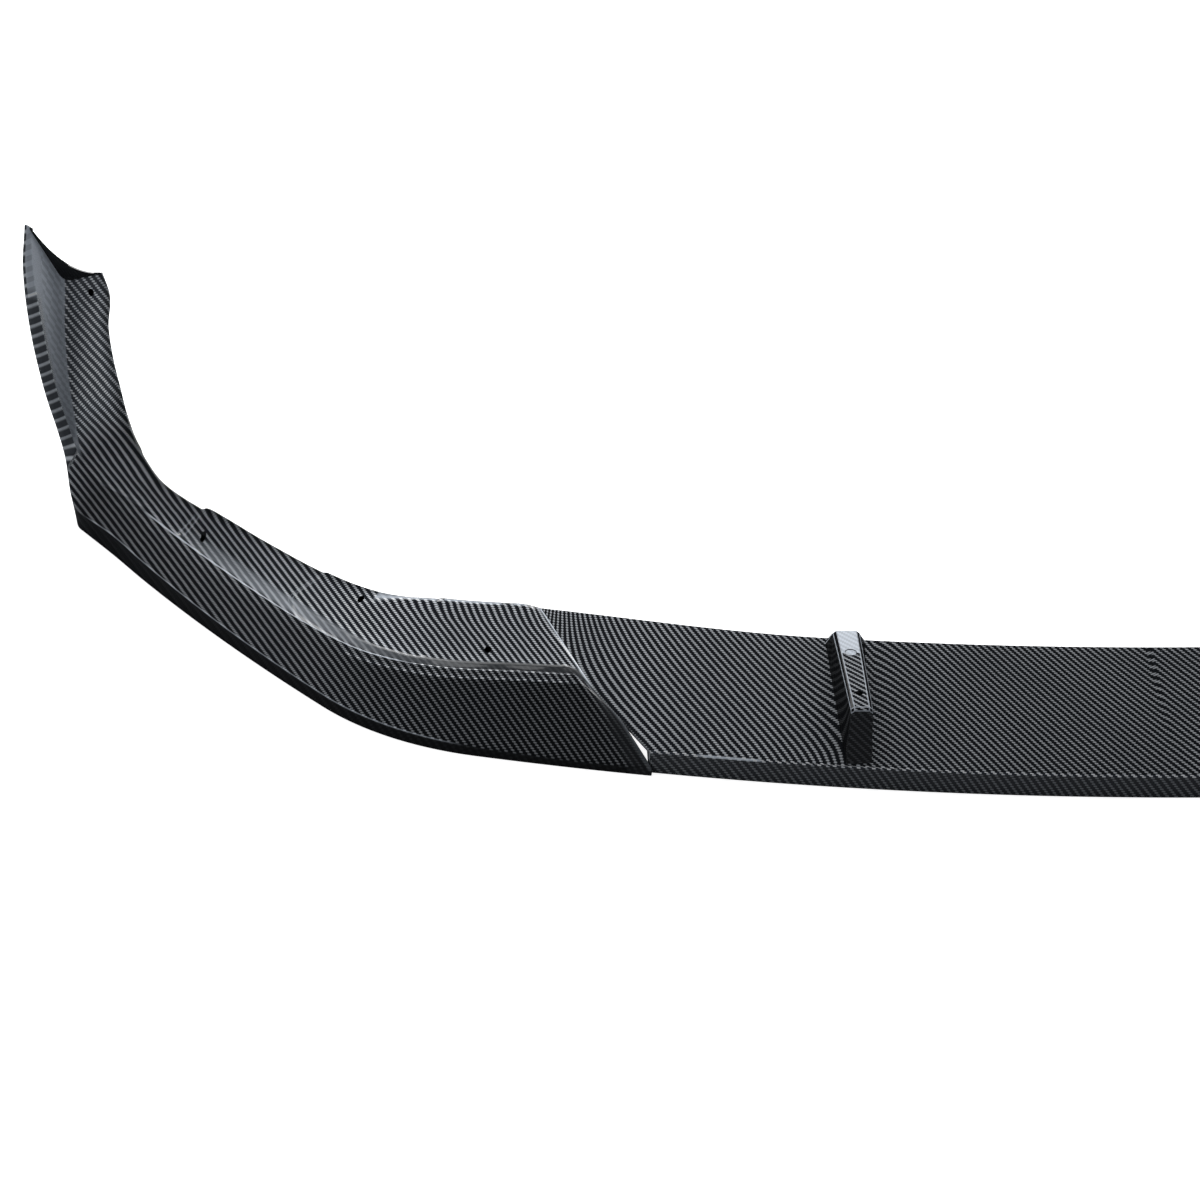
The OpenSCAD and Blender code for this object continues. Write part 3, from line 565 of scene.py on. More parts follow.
def corner_zone(form, u, places):
    """How smooth the cloth is drawn over the corner's outer skin, and the light and shade painted on it.

    u runs along the corner, from 0 at the joint over 1 at the outer corner to 2 at the winglet's tip.
    w runs across it: 1 is the top of the front face, 2 the crest, 3 the valley and 4 the rear edge.
    """
    u, w = np.meshgrid(u, places, indexing="ij")
    crest, bevel_foot = within(w, 1.965, 1.995), within(w, 1.81, 1.84)

    def along(*rows):
        return np.interp(u, *zip(*rows))
    # Painted light and shade: the blade darker near the joint and lighter up the winglet, the flange lighter than the
    # blade, the front face dark
    blade = along((0.1, 0.42), (0.45, 0.75), (0.8, 0.6), (1.05, 0.6), (1.3, 1.4))
    flange = along((0.2, 1.45), (0.4, 2.25), (0.6, 2.0), (0.8, 1.3), (1.2, 1.15), (1.5, 3.0))
    light = mix(blade * along((1.25, 1), (1.35, 1.7)), flange, ease((w - 2.0) / 0.08))
    light = mix(along((1.0, 0.12), (1.3, 0.6)), light, ease((w - 0.95) / 0.04))
    # Ledge and cove: narrow with painted shade at the joint, wide with painted light further out
    ledge = (within(w, 2.02, along((0, 2.75), (0.3, 2.65), (0.7, 3.0)), 0.2)
             * along((0, 0.95), (0.3, 0.85), (0.74, 0.7), (0.84, 0)))
    light = mix(light, along((0.12, 0.25), (0.3, 0.7), (0.5, 3.0), (0.8, 2.8)), ledge)
    smooth = np.maximum(ledge, 0.85 * within(w, -1, 0.98) * along((1.05, 1), (1.25, 0)))
    # The stripes are paler up the winglet
    smooth = np.maximum(smooth, along((1.2, 0), (1.45, 0.3)) * within(w, 1.0, 5))
    smooth = np.maximum(smooth, along((1.25, 0), (1.35, 0.5)) * within(w, 1.0, 2.0))
    # The fin is smooth up to the valley, and near its tip right to the front edge; painted light on it grows towards
    # the tip
    fin = np.maximum(within(w, 2.0, 2.8, 0.05) * ease((u - 1.14) / 0.14),
                     within(w, 1.3, 2.8, 0.1) * ease((u - 1.82) / 0.03))
    smooth, light = np.maximum(smooth, fin), mix(light, along((1.2, 1.4), (1.4, 4.6), (2, 8.0)), fin)
    # Slope at the joint: smooth, with painted shade, widest at the front
    slope = 1 - ease((u / form.slope_u - np.clip((2.3 - w) / 1.1, 0, 1)) / 0.2 + 0.5)
    smooth, light = np.maximum(smooth, 0.7 * slope), mix(light, 0.3, slope)
    # Painted highlights along the crest, along the top of the front face and at the joint, and a painted reflection
    # in bands on the rear edge; each also draws the cloth smooth
    rear_reflection = within(u, 0.03, 0.055) + within(u, 0.085, 0.236) + within(u, 0.256, 0.38)
    highlight_lines = [7.0 * crest * within(u, 0.28, 0.9, 0.05),
             6.0 * within(w, 0.99, 1.02) * within(u, 0.24, 1.02, 0.05),
             mix(1.5, 10.0, ease((w - 1.9) / 0.4)) * within(u, -1, 0.003) * (w > 0.9),
             7.0 * (w > 3.85) * rear_reflection]
    # Painted highlights on both edges of the flange's middle and outer steps
    thin = 5e-4
    for at, _, spread in STEPS[1:]:
        highlight_lines += [4.5 * within(u, edge - thin, edge + thin) * within(w, 2.4, 3.85)
                  for edge in (at, at + spread)]
    for line in highlight_lines:
        smooth, light = np.maximum(smooth, np.minimum(line, 1)), np.maximum(light, line)
    # Woven dashes along the bevel with painted light, and painted highlights on its edges near the joint
    bevel = (1 - slope) * within(u, -1, 1.0, 0.1)
    light = np.maximum(light, 0.8 * within(w, 1.8, 1.995) * bevel)
    light = np.maximum(light, 2.6 * (bevel_foot + crest) * bevel * within(u, 0.03, 0.4, 0.05))
    return np.stack([smooth, light], -1)


def end_wall(form, outer, inner, places):
    """Wall that closes the top of the winglet, from the hollow between fin and flange up to its rim."""
    foot = ((outer[-1] + inner[-1]) / 2)[places >= 1.99]
    steps = np.concatenate([[0], np.cumsum(np.linalg.norm(np.diff(foot, axis=0), axis=1))])
    t = np.linspace(0.008, 0.98, 33)
    foot = np.stack([np.interp(t, steps / steps[-1], foot[:, k]) for k in range(3)], -1)
    # The rim lies a little inside the skin at the tip, and sags in a curve over the valley
    skin_end, rim_in, sag = form.keys(np.array([2.0, 2.0]))[0], 1.3, np.array([2, 0, 5])
    keys = mix(skin_end, form.behind(form.keys(form.stations()[-2:]), np.full(2, rim_in))[1], 0.15)
    rim = (np.outer((1 - t) ** 2, keys[2]) + np.outer(2 * t * (1 - t), keys[3] + sag)
           + np.outer(t * t, keys[4]))
    rows = 9
    sheet = np.stack([mix(foot, rim, k / (rows - 1)) for k in range(rows)], 1)
    back = sheet + np.array([0, 0.2, 0])
    front = sheet + np.array([0, -form.wall * 0.8, 0])
    return np.concatenate([front, back[:, ::-1]], 1)


def build_corner(form, name, mirrored):
    u, outer, inner, places = form.corner()
    r = form.edge_round
    ring = ring_of(outer, inner, r)
    m = outer.shape[1] - 2
    # Round the two cut ends: the skins come together over the last edge_round
    mid = ring_of((outer + inner) / 2, (outer + inner) / 2, 0)
    ends = []
    for end, beside in ((0, 1), (-1, -2)):
        flat, step = ring[end], unit(ring[beside] - ring[end]) * r
        narrow = 2 * r / form.wall
        ends.append([mix(flat, mid[end], narrow), mix(flat, mid[end], narrow * 0.3) + step * 0.3, flat + step])
    ring = np.concatenate([np.stack(ends[0]), ring[1:-1], np.stack(ends[1][::-1])])
    spread_u = np.concatenate([[u[0]] * 3, u[1:-1], [u[-1]] * 3])
    lay = corner_lay(ring)
    fold = (spread_u > 1.28)[:, None] & within(places[1:-1], 1.0, 2.0).astype(bool)[None]
    lay[:, :m][fold] = fin_lay(ring[:, :m][fold])
    zone_out = corner_zone(form, spread_u, places[1:-1])
    # The rims take the smoothness of the skin beside them; the rear rim keeps part of the painted light of the rear
    # edge
    rear, front = np.repeat(zone_out[:, -1:], 8, 1) * (1, 0.4), np.repeat(zone_out[:, :1], 8, 1)
    inner_zone = np.broadcast_to(INNER_ZONE, zone_out.shape)
    zone = np.concatenate([zone_out, rear, inner_zone, front], 1)
    mesh = wall_mesh(name, ring, lay, zone, m)
    obj = piece(name, mesh)
    # Closing wall of the winglet
    grid = end_wall(form, outer, inner, places)
    cap = loft(list(grid))
    combine(obj, [cap], "UNION")
    # Bosses for the joint screws reach up into the ledge, then all holes
    at = form.screw_points()
    pad_r, pad_top, pad_low = form.joint_pad()
    valley = form.keys(np.full(2, form.boss_place))[0][3]
    boss_low, boss_top = pad_top + form.seat_gap, float(valley[2]) - 1
    combine(obj, [upright_bar(p, pad_r - form.boss_in, boss_low, boss_top) for p in at], "UNION")
    pilot, hole = form.screw_d / 2 + form.pilot_slack, form.hole_d / 2
    tools = [upright_bar(p, pilot, boss_low - 1, pad_low + form.screw_len + form.tip_room) for p in at]
    tools += [round_bar(np.array(middle) - form.shift, axis, [(hole, -reach_out), (hole, reach_out)])
              for middle, axis, reach_out in [(h, (0, 0, 1), HOLE_REACH) for h in FLANGE_HOLES]
              + [(WING_HOLE, (0, 1, 0), WING_HOLE_REACH)]]
    combine(obj, tools, "DIFFERENCE")
    moved(obj.data, form.shift)
    if mirrored:
        old, obj.data = obj.data, flipped(obj.data)
        bpy.data.meshes.remove(old)
        obj.data.name = name
    shaded(obj)
    return obj


def build_rib(form, cut, below):
    """The rib's closed form, or its hollow when cut is the wall."""
    back, front = form.rib_ends()
    level_end = back - form.rib_level

    def ring(y, drop):
        t = np.clip((back - y) / (back - front), 0, 1)
        slope = np.clip((level_end - y) / (level_end - front), 0, 1)
        w = mix(form.rib_back_w, form.rib_front_w, t) / 2 - cut
        top = mix(form.rib_h, form.rib_front_h, slope) - drop - cut
        foot_w = w + mix(form.rib_flare, form.rib_front_flare, t)
        y_foot = min(y, mix(y, y - form.rib_lean, t * t))
        foot = float(form.centre_skin(-form.rib_x, y_foot)) - below
        bevel = form.rib_bevel * (0.4 if cut else 1)
        side = top - bevel * 0.8
        shape = [(-foot_w, y_foot, foot), (-w, y, side), (bevel - w, y, top), (w - bevel, y, top),
                 (w, y, side), (foot_w, y_foot, foot)]
        return [(x - form.rib_x, yy, z) for x, yy, z in shape]
    rear, tip, end_bevel = back - cut, front + cut, form.rib_bevel
    end_drop = end_bevel * 0.7
    rows = [ring(rear, end_drop), ring(rear - end_bevel, 0), ring(level_end, 0)]
    rows += [ring(mix(level_end, tip + end_bevel, i / 4), 0) for i in range(1, 5)] + [ring(tip, end_drop)]
    mesh = loft(rows)
    if not cut:
        bm = bmesh.new()
        bm.from_mesh(mesh)
        sharp = [edge for edge in bm.edges if edge.calc_face_angle(0) > radians(8)]
        bmesh.ops.bevel(bm, geom=sharp, offset=form.rib_edge * MM, segments=3, profile=0.5, affect="EDGES")
        bm.to_mesh(mesh)
        bm.free()
    return mesh


def build_centre(form):
    name = "centre_section"
    outer, inner = form.centre()
    ring = ring_of(outer, inner, form.edge_round)
    blank = np.zeros(ring.shape[:2] + (2,))
    obj = piece(name, wall_mesh(name, ring, blank, blank, outer.shape[1] - 2))
    at = form.screw_points()
    pad_r, pad_top, pad_low = form.joint_pad()
    adds = [build_rib(form, 0, form.wall * 0.5)]
    adds += [upright_bar(p, pad_r, pad_low, pad_top) for p in at]
    combine(obj, adds + [flipped(a) for a in adds], "UNION")
    # The ends: cut along the joint in front, and behind the tongue
    front_s = form.joint_s(form.tongue_front + form.proud)
    rear_s = form.joint_s(form.run + form.proud)
    past, gap = 20, form.end_gap
    far = rear_s + form.tongue + past
    toe = form.inside(form.joint_s(0) - form.toe, 1, 0)[:2]
    crest = form.inside(front_s, form.tongue_front + form.proud, 0)[:2]
    d = unit(crest - toe)
    side = np.array([d[1], -d[0]]) * gap

    def row(run, a, b):
        return [form.inside(mix(a, b, i / 8), form.proud + run, 0)[:2] for i in range(9)]
    front = ([toe - d * past + side, crest + side] + row(form.tongue_front, front_s + gap, far)
             + row(-past, far, form.joint_s(0)))
    rear = row(form.tongue_rear, rear_s + 2 * gap, far) + row(form.run + past, far, rear_s + 2 * gap)
    under, over_front, over_rear, clear = -3, 61, 81, form.screw_d / 2 + form.clear_slack
    cuts = [prism(front, under, over_front), prism(rear, under, over_rear),
            build_rib(form, form.rib_wall, form.wall * 2.5)]
    cuts += [upright_bar(p, clear, pad_low - 1, pad_top + 1) for p in at]
    combine(obj, cuts + [flipped(c) for c in cuts], "DIFFERENCE")
    # Screw hole and shallow round recess in the rib's top
    hole_at = np.array([-form.rib_x, form.rib_ends()[1] + form.rib_hole_in, 0])
    recess = [(form.recess_r, 0), (form.recess_top_r, form.recess_deep + 0.1)]
    holes = [upright_bar(hole_at, form.hole_d / 2, form.rib_h - 9, form.rib_h + 3),
             round_bar((-form.rib_x, form.recess_y, form.rib_h - form.recess_deep), (0, 0, 1), recess)]
    combine(obj, holes + [flipped(h) for h in holes], "DIFFERENCE")
    lay_centre(form, obj.data)
    moved(obj.data, form.shift)
    shaded(obj)
    return obj


def build_hole_shade_caps(form):
    """Dark caps behind the screw holes, flat against the inner side; painted shade that keeps the holes looking dark.
    """
    _, outer, inner, places = form.corner()
    past_valley = np.flatnonzero(places > 3)[0]
    seats = []
    for hole, axis in [(h, (0, 0, 1)) for h in FLANGE_HOLES] + [(WING_HOLE, (0, 1, 0))]:
        at, axis = np.array(hole) - form.shift, np.array(axis)
        off = (inner - at)[1:-1, past_valley:-1] * (1 - 0.9 * axis)
        i, j = np.unravel_index(np.argmin(np.linalg.norm(off, axis=-1)), off.shape[:2])
        i, j = i + 1, j + past_valley
        inward = unit(np.cross(inner[i + 1, j] - inner[i - 1, j], inner[i, j + 1] - inner[i, j - 1]))
        inward *= -np.sign((outer[i, j] - inner[i, j]) @ inward)
        seats.append((at + axis * ((inner[i, j] - at) @ inward) / (axis @ inward), inward))
    rib_y = form.rib_ends()[1] + form.rib_hole_in
    seats.append((np.array([-form.rib_x, rib_y, form.rib_front_h - form.rib_wall - 0.3]), np.array([0, 0, -1.0])))
    r, narrow = form.cap_r, form.cap_r - form.cap_edge
    profile = [(narrow, 0), (r, 0.3), (r, form.cap_h - 0.3), (narrow, form.cap_h)]
    caps = [round_bar(at + form.shift + inward * form.cap_lift, inward, profile) for at, inward in seats]
    obj = piece("hole_shade_caps", caps[0].copy())
    combine(obj, caps[1:] + [flipped(cap) for cap in caps], "UNION")
    shaded(obj)
    return obj


def read(items, name, width=1, kind=float):
    """A property of all vertices, loops or faces, as an array."""
    values = np.empty(len(items) * width, kind)
    items.foreach_get(name, values)
    return values.reshape(-1, width) if width > 1 else values


def lay_centre(form, mesh):
    """Cloth coordinates of the centre section, worked out from each corner's place, and its smoothness with the
    painted light and shade.
    """
    p = read(mesh.vertices, "co", 3)[read(mesh.loops, "vertex_index", kind=int)] / MM
    sizes = read(mesh.polygons, "loop_total", kind=int)
    n = np.repeat(read(mesh.polygons, "normal", 3), sizes, 0)
    lay = centre_lay(form, p)
    ends = np.cumsum(sizes)
    mid = np.repeat([p[b - k:b].mean(0) for b, k in zip(ends, sizes)], sizes, 0)
    beside_rib, rib_reach = np.abs(np.abs(mid[:, 0]) - form.rib_x), 17
    rib = (beside_rib < rib_reach) & (mid[:, 2] > form.centre_skin(mid[:, 0], mid[:, 1]) + 0.4)
    flat = np.stack([0.165 * p[:, 0] + 0.15 * p[:, 1] + 0.15 * p[:, 2],
                     -0.15 * p[:, 0] + 0.165 * p[:, 1] + 0.165 * p[:, 2]], -1)
    upright = np.stack([-0.11 * p[:, 1] + 0.15 * p[:, 2], 0.12 * p[:, 1] + 0.12 * p[:, 2]], -1)
    lay = np.where(rib[:, None], np.where((np.abs(n[:, 0]) > 0.6)[:, None], upright, flat), lay)
    depth = form.nose_cy - np.hypot(p[:, 0], p[:, 1] - form.nose_cy)
    skin = form.centre_skin(p[:, 0], p[:, 1])
    under = (n[:, 2] < -0.3) | ((p[:, 2] < skin - 1.5) & (depth > form.draft + 2)) & ~rib
    face = (n[:, 1] < -0.8) & (p[:, 2] < form.face_h + 0.2)
    # Narrow faces are the rounded edges of the rib
    long_side = np.array([np.ptp(p[b - k:b], 0).max() for b, k in zip(ends, sizes)])
    width = read(mesh.polygons, "area") / MM**2 / np.maximum(long_side, 1e-6)
    narrow = np.repeat(width < 0.5, sizes)
    nose = (np.hypot(depth - form.draft - 0.5, p[:, 2] - form.face_h + 0.5) < 0.9) & (np.abs(n[:, 0]) < 0.6)
    # Painted reflection on the level part of the rib's top; none on the sloping part in front of it
    rib_top, rib_tip = rib & (n[:, 2] > 0.8), rib & (n[:, 1] < -0.6)
    level = rib_top & (mid[:, 1] > form.rib_ends()[0] - form.rib_level)
    s = np.abs(np.arctan2(-p[:, 0], form.nose_cy - p[:, 1]) * form.nose_r)
    # Painted highlight along the rounded top of the front face, brightest in a gleam 298 to 342 mm from the middle
    gleam = within(s, 298, 342, 2)
    edge_light = mix(np.interp(s, (300, 380), (4.0, 6.5)), 10, gleam)
    rim = rib & narrow & (n[:, 2] > 0.1) & (mid[:, 2] > form.rib_front_h - 6)
    # Painted light and shade: glints on the rib's upper edges, a reflection on its level top, shade on its sloping
    # tip and sides, the highlight on the front face's top, and the blade lighter towards the joints
    light = np.select([rim, level, rib_top, rib_tip, rib, under, nose, face],
                      [5.0, 6.5, 1.0, 0.3, 0.1, INNER_ZONE[1], edge_light, 0.95],
                      np.interp(s, (120, 300, 380), (0.72, 1.0, 1.12)))
    smooth = np.select([rim, level, rib_tip, rib & (n[:, 2] < 0.8), under, nose, face],
                       [1.0, 1.0, 0.5, 0.85, INNER_ZONE[0], gleam, 0.5], 0.0)
    zone = np.stack([smooth, light], -1)
    for title, values in (("lay", lay), ("zone", zone)):
        layer = mesh.uv_layers.get(title) or mesh.uv_layers.new(name=title)
        layer.uv.foreach_set("vector", values.astype(np.float32).ravel())


# Finishes

class Value:
    """A number on a shader socket; expressions on it add Math nodes."""

    def __init__(self, graph, socket):
        self.graph, self.socket = graph, socket

    def math(self, operation, *others):
        return self.graph.number("ShaderNodeMath", {"operation": operation}, dict(enumerate((self, *others))))

    def __add__(self, b): return self.math("ADD", b)
    def __sub__(self, b): return self.math("SUBTRACT", b)
    def __mul__(self, b): return self.math("MULTIPLY", b)
    def __radd__(self, b): return self.math("ADD", b)
    def __rmul__(self, b): return self.math("MULTIPLY", b)
    def __rsub__(self, b): return self.graph.number("ShaderNodeMath", {"operation": "SUBTRACT"}, {0: b, 1: self})
    def __lt__(self, b): return self.math("LESS_THAN", b)
    def __mod__(self, b): return self.math("FLOORED_MODULO", b)
    def floor(self): return self.math("FLOOR")
    def clamp(self): return self.math("MINIMUM", 1).math("MAXIMUM", 0)


class Graph:
    """The nodes of one material or world."""

    def __init__(self, owner):
        owner.use_nodes = True
        self.tree = owner.node_tree
        self.tree.nodes.clear()

    def node(self, kind, settings=None, inputs=None):
        made = self.tree.nodes.new(kind)
        for name, value in (settings or {}).items():
            setattr(made, name, value)
        for name, value in (inputs or {}).items():
            socket = made.inputs[name]
            value = value.socket if isinstance(value, Value) else value
            if isinstance(value, bpy.types.NodeSocket):
                self.tree.links.new(value, socket)
            else:
                socket.default_value = value
        return made

    def number(self, kind, settings=None, inputs=None):
        return Value(self, self.node(kind, settings, inputs).outputs[0])

    def flat_noise(self, vector, scale, detail):
        return self.number("ShaderNodeTexNoise", {"noise_dimensions": "2D"},
                           {"Vector": vector, "Scale": scale, "Detail": detail})

    def blend(self, factor, a, b):
        """Colour a where the factor is 0, b where it is 1."""
        made = self.node("ShaderNodeMix", {"data_type": "RGBA"}, {0: factor, 6: a, 7: b})
        return made.outputs[2]

    def scaled(self, colour, factor):
        """The colour made lighter or darker by a factor, never lighter than white paint."""
        white_paint = (0.85,) * 3
        times = self.node("ShaderNodeVectorMath", {"operation": "SCALE"}, {0: colour, 3: factor})
        least = self.node("ShaderNodeVectorMath", {"operation": "MINIMUM"}, {0: times.outputs[0], 1: white_paint})
        return least.outputs[0]

    def parts(self, vector):
        split = self.node("ShaderNodeSeparateXYZ", inputs={0: vector})
        return Value(self, split.outputs[0]), Value(self, split.outputs[1])

    def pair(self, x, y):
        return self.node("ShaderNodeCombineXYZ", inputs={0: x, 1: y}).outputs[0]

    def by_ray(self, ray, seen, other):
        """One shader for a kind of ray and another for the rest."""
        path = self.node("ShaderNodeLightPath")
        return self.node("ShaderNodeMixShader", {}, {0: path.outputs[ray], 1: other.outputs[0], 2: seen.outputs[0]})

    def surface(self, shader, owner="Material"):
        self.node("ShaderNodeOutput" + owner, inputs={"Surface": shader.outputs[0]})


def rgba(colour, gain=1.0):
    return (*[min(1.0, c * gain) for c in colour], 1.0)


def twill_finish(finish):
    """Two-and-two twill of glossy yarns under a clear coat, with painted sheen on the yarns and the painted light and
    shade of the zone map.
    """
    material = bpy.data.materials.new("twill_gloss")
    g = Graph(material)
    lay = g.node("ShaderNodeUVMap", {"uv_map": "lay"}).outputs[0]
    across, along = g.parts(lay)
    smooth, painted_light = g.parts(g.node("ShaderNodeUVMap", {"uv_map": "zone"}).outputs[0])
    # The cloth is laid by hand, so its stripes wander a little
    wander = g.flat_noise(lay, 0.3, 2.0)
    across = across + (wander - 0.5) * 0.12
    a, b = (along + across) * 2, (along - across) * 2
    ia, ib = a.floor(), b.floor()
    warp = (ia - ib) % 4 < 2
    # Distance across and along the yarn that lies on top
    fa, fb = a - ia, b - ib
    side_a, side_b = fa * 2 - 1, fb * 2 - 1
    run_a, run_b = ((ia + 1 - b) % 4) - 1, ((a - ib - 2) % 4) - 1
    round_a = (1 - side_a * side_a) * (1 - run_a * run_a * 0.9)
    round_b = (1 - side_b * side_b) * (1 - run_b * run_b * 0.9)
    high = (round_a * warp + round_b * (1 - warp)).clamp()
    # Single fibres within the yarns
    fine_a, fine_b = g.flat_noise(g.pair(a * 11, b * 0.8), 1.0, 1.0), g.flat_noise(g.pair(a * 0.8, b * 11), 1.0, 1.0)
    fine = fine_a * warp + fine_b * (1 - warp)
    patch = g.flat_noise(lay, 0.05, 2.0)
    # Painted sheen: each yarn is drawn lighter along its crown and darker where it dives under the next
    sheen = (high * 1.5 + fine * 0.5 - 0.4).clamp()
    light = g.blend(sheen, rgba(finish.light_tow, 0.05), rgba(finish.light_tow, 1.6))
    deep = g.blend(high, rgba(finish.dark_tow, 0.5), rgba(finish.dark_tow, 1.4))
    woven = g.blend(warp, deep, light)
    woven = g.blend((patch - 0.4) * 0.4, woven, rgba(finish.dark_tow, 2))
    faint = (warp * 0.25 + fine * 0.15).clamp()
    drawn = g.blend(faint, rgba(finish.smooth_cloth, 0.8), rgba(finish.smooth_cloth, 1.8))
    # The zone map's second value scales the colour, which paints the light and shade
    colour = g.scaled(g.blend(smooth, woven, drawn), painted_light.math("MAXIMUM", 0.05))
    bump = g.node("ShaderNodeBump", {}, {"Strength": 0.3, "Distance": 0.0003, "Height": high * (1 - smooth)})
    shader = g.node("ShaderNodeBsdfPrincipled", {}, {
        "Base Color": colour, "Roughness": 0.6 - warp * 0.1, "Normal": bump.outputs[0],
        "Coat Weight": 1 - smooth * 0.85, "Coat Roughness": 0.05, "Coat IOR": 1.5, "Specular IOR Level": 0.0})
    g.surface(shader)
    return material


def steel_finish(finish):
    """Plain steel with turning marks and a little dirt, mottled at random."""
    material = bpy.data.materials.new("screw_steel")
    g = Graph(material)
    place = g.node("ShaderNodeTexCoord").outputs["Object"]
    fine = g.number("ShaderNodeTexNoise", {}, {"Vector": place, "Scale": 900.0, "Detail": 3.0})
    broad = g.number("ShaderNodeTexNoise", {}, {"Vector": place, "Scale": 120.0, "Detail": 2.0})
    colour = g.blend((broad * 0.8).clamp(), rgba(finish.steel, 0.75), rgba(finish.steel, 1.1))
    bump = g.node("ShaderNodeBump", {}, {"Strength": 0.2, "Distance": 0.0001, "Height": fine})
    shader = g.node("ShaderNodeBsdfPrincipled", {}, {
        "Base Color": colour, "Roughness": 0.28 + fine * 0.15, "Normal": bump.outputs[0], "Metallic": 1.0})
    g.surface(shader)
    return material


def floor_finish(finish):
    """Pale floor: white to the camera with the shadow kept, grey in the gloss."""
    material = bpy.data.materials.new("studio_floor")
    g = Graph(material)
    seen = g.node("ShaderNodeBsdfDiffuse", {}, {"Color": rgba(finish.floor)})
    glow = g.node("ShaderNodeEmission", {}, {"Color": (1, 1, 1, 1), "Strength": 0.85})
    lit = g.node("ShaderNodeAddShader", {}, {0: seen.outputs[0], 1: glow.outputs[0]})
    plain = g.node("ShaderNodeBsdfDiffuse", {}, {"Color": (0.15, 0.155, 0.165, 1)})
    g.surface(g.by_ray("Is Camera Ray", lit, plain))
    return material


def world_light(scene):
    world = bpy.data.worlds.new("studio")
    scene.world = world
    g = Graph(world)
    soft = g.node("ShaderNodeBackground", {}, {"Color": (0.93, 0.96, 1.0, 1), "Strength": 0.3})
    gloss = g.node("ShaderNodeBackground", {}, {"Color": (0.85, 0.92, 1.0, 1), "Strength": 0.05})
    white = g.node("ShaderNodeBackground", {}, {"Color": (1, 1, 1, 1), "Strength": 1.0})
    g.surface(g.by_ray("Is Camera Ray", white, g.by_ray("Is Glossy Ray", gloss, soft)), "World")


def softbox(name, at, target, width, height, strength, gloss):
    """Area lamp of a given brightness."""
    data = bpy.data.lights.new(name, "AREA")
    data.shape, data.size, data.size_y = "RECTANGLE", width, height
    data.energy = strength * pi * width * height
    lamp = bpy.data.objects.new(name, data)
    bpy.context.scene.collection.objects.link(lamp)
    lamp.location = at
    lamp.rotation_euler = (Vector(target) - Vector(at)).to_track_quat("-Z", "Y").to_euler()
    lamp.visible_camera, lamp.visible_glossy = False, gloss


# Operators

def form_and_finish(context):
    return LipForm(context.scene.splitter_sizes), context.scene.splitter_finish


def twill(finish):
    return bpy.data.materials.get("twill_gloss") or twill_finish(finish)


class SPLITTER_OT_centre(bpy.types.Operator):
    """Build the centre section with its two ribs"""
    bl_idname = "splitter.centre"
    bl_label = "Centre Section"

    def execute(self, context):
        form, finish = form_and_finish(context)
        finished(build_centre(form), twill(finish), "center_section")
        return {"FINISHED"}


class SPLITTER_OT_corners(bpy.types.Operator):
    """Build the two corner sections with their winglets"""
    bl_idname = "splitter.corners"
    bl_label = "Corner Sections"

    def execute(self, context):
        form, finish = form_and_finish(context)
        for name, node, mirrored in (("left_corner_shell", "left_corner", False),
                                     ("right_corner_shell", "right_corner", True)):
            finished(build_corner(form, name, mirrored), twill(finish), node)
        # Dark caps behind the holes, painted shade that keeps them looking dark
        finished(build_hole_shade_caps(form), twill(finish), None)
        return {"FINISHED"}


class SPLITTER_OT_screws(bpy.types.Operator):
    """Give the joint screws their steel"""
    bl_idname = "splitter.screws"
    bl_label = "Joint Screws"

    def execute(self, context):
        steel = steel_finish(context.scene.splitter_finish)
        for node in ("left_joint_screws", "right_joint_screws"):
            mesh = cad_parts[node].data
            mesh.materials.clear()
            mesh.materials.append(steel)
        return {"FINISHED"}


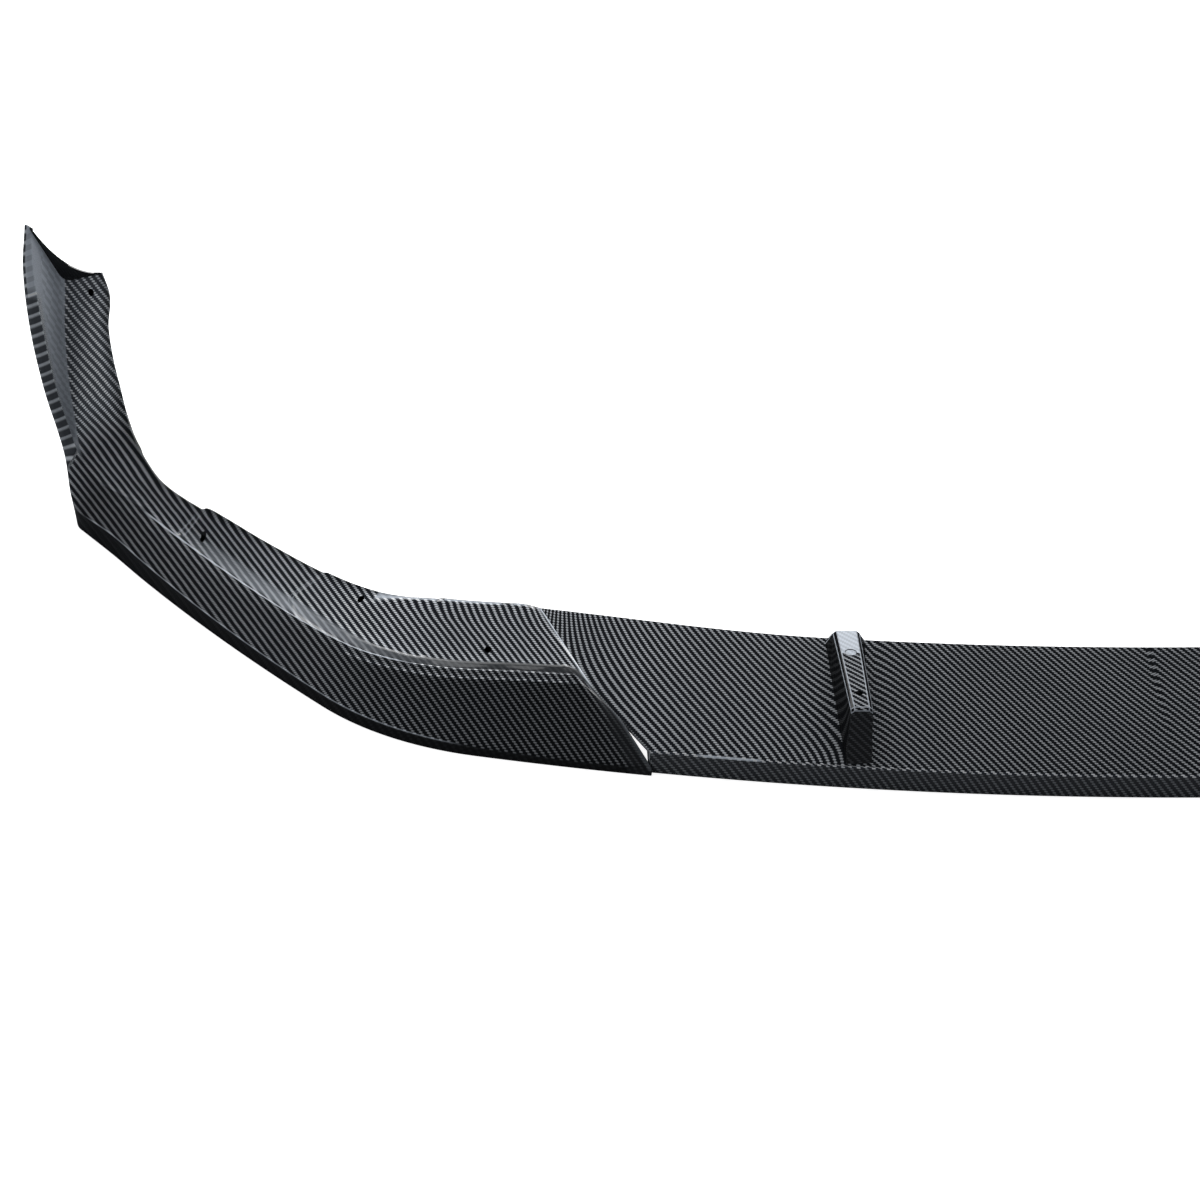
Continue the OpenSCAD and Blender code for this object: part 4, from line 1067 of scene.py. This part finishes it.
class SPLITTER_OT_stage(bpy.types.Operator):
    """Set up the floor, the lamps and the camera"""
    bl_idname = "splitter.stage"
    bl_label = "Stage"

    def execute(self, context):
        scene = context.scene
        bm = bmesh.new()
        bmesh.ops.create_grid(bm, x_segments=8, y_segments=8, size=FLOOR_SIZE)
        mesh = bpy.data.meshes.new("floor")
        bm.to_mesh(mesh)
        bm.free()
        floor = piece("floor", mesh)
        floor.location.z = -FLOOR_DROP
        mesh.materials.append(floor_finish(scene.splitter_finish))
        world_light(scene)
        for lamp in LAMPS:
            softbox(*lamp)
        data = bpy.data.cameras.new("camera")
        data.lens, data.sensor_width = CAMERA_LENS, 36.0
        data.dof.use_dof = False
        camera = bpy.data.objects.new("camera", data)
        scene.collection.objects.link(camera)
        half_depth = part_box("left_corner")[1][1]
        x, y, z = CAMERA_AT
        camera.location = (x, y - half_depth, z)
        camera.rotation_euler = (radians(CAMERA_TILT), 0, 0)
        scene.camera = camera
        scene.view_settings.view_transform = "Standard"
        return {"FINISHED"}


class SPLITTER_PT_panel(bpy.types.Panel):
    """Sizes, colours and build steps of the lip"""
    bl_idname = "SPLITTER_PT_panel"
    bl_label = "Front Splitter Lip"
    bl_space_type = "VIEW_3D"
    bl_region_type = "UI"
    bl_category = "Splitter"

    def draw(self, context):
        for group in (context.scene.splitter_sizes, context.scene.splitter_finish):
            column = self.layout.column(align=True)
            for name in group.__annotations__:
                column.prop(group, name)
        for operator in OPERATORS:
            self.layout.operator(operator.bl_idname)


OPERATORS = (SPLITTER_OT_centre, SPLITTER_OT_corners, SPLITTER_OT_screws, SPLITTER_OT_stage)
CLASSES = (SplitterSizes, SplitterFinish, *OPERATORS, SPLITTER_PT_panel)


def register():
    for cls in CLASSES:
        bpy.utils.register_class(cls)
    bpy.types.Scene.splitter_sizes = bpy.props.PointerProperty(type=SplitterSizes)
    bpy.types.Scene.splitter_finish = bpy.props.PointerProperty(type=SplitterFinish)


def unregister():
    del bpy.types.Scene.splitter_finish
    del bpy.types.Scene.splitter_sizes
    for cls in reversed(CLASSES):
        bpy.utils.unregister_class(cls)


def main():
    register()
    bpy.ops.splitter.centre()
    bpy.ops.splitter.corners()
    bpy.ops.splitter.screws()
    bpy.ops.splitter.stage()


if __name__ == "__main__":
    main()
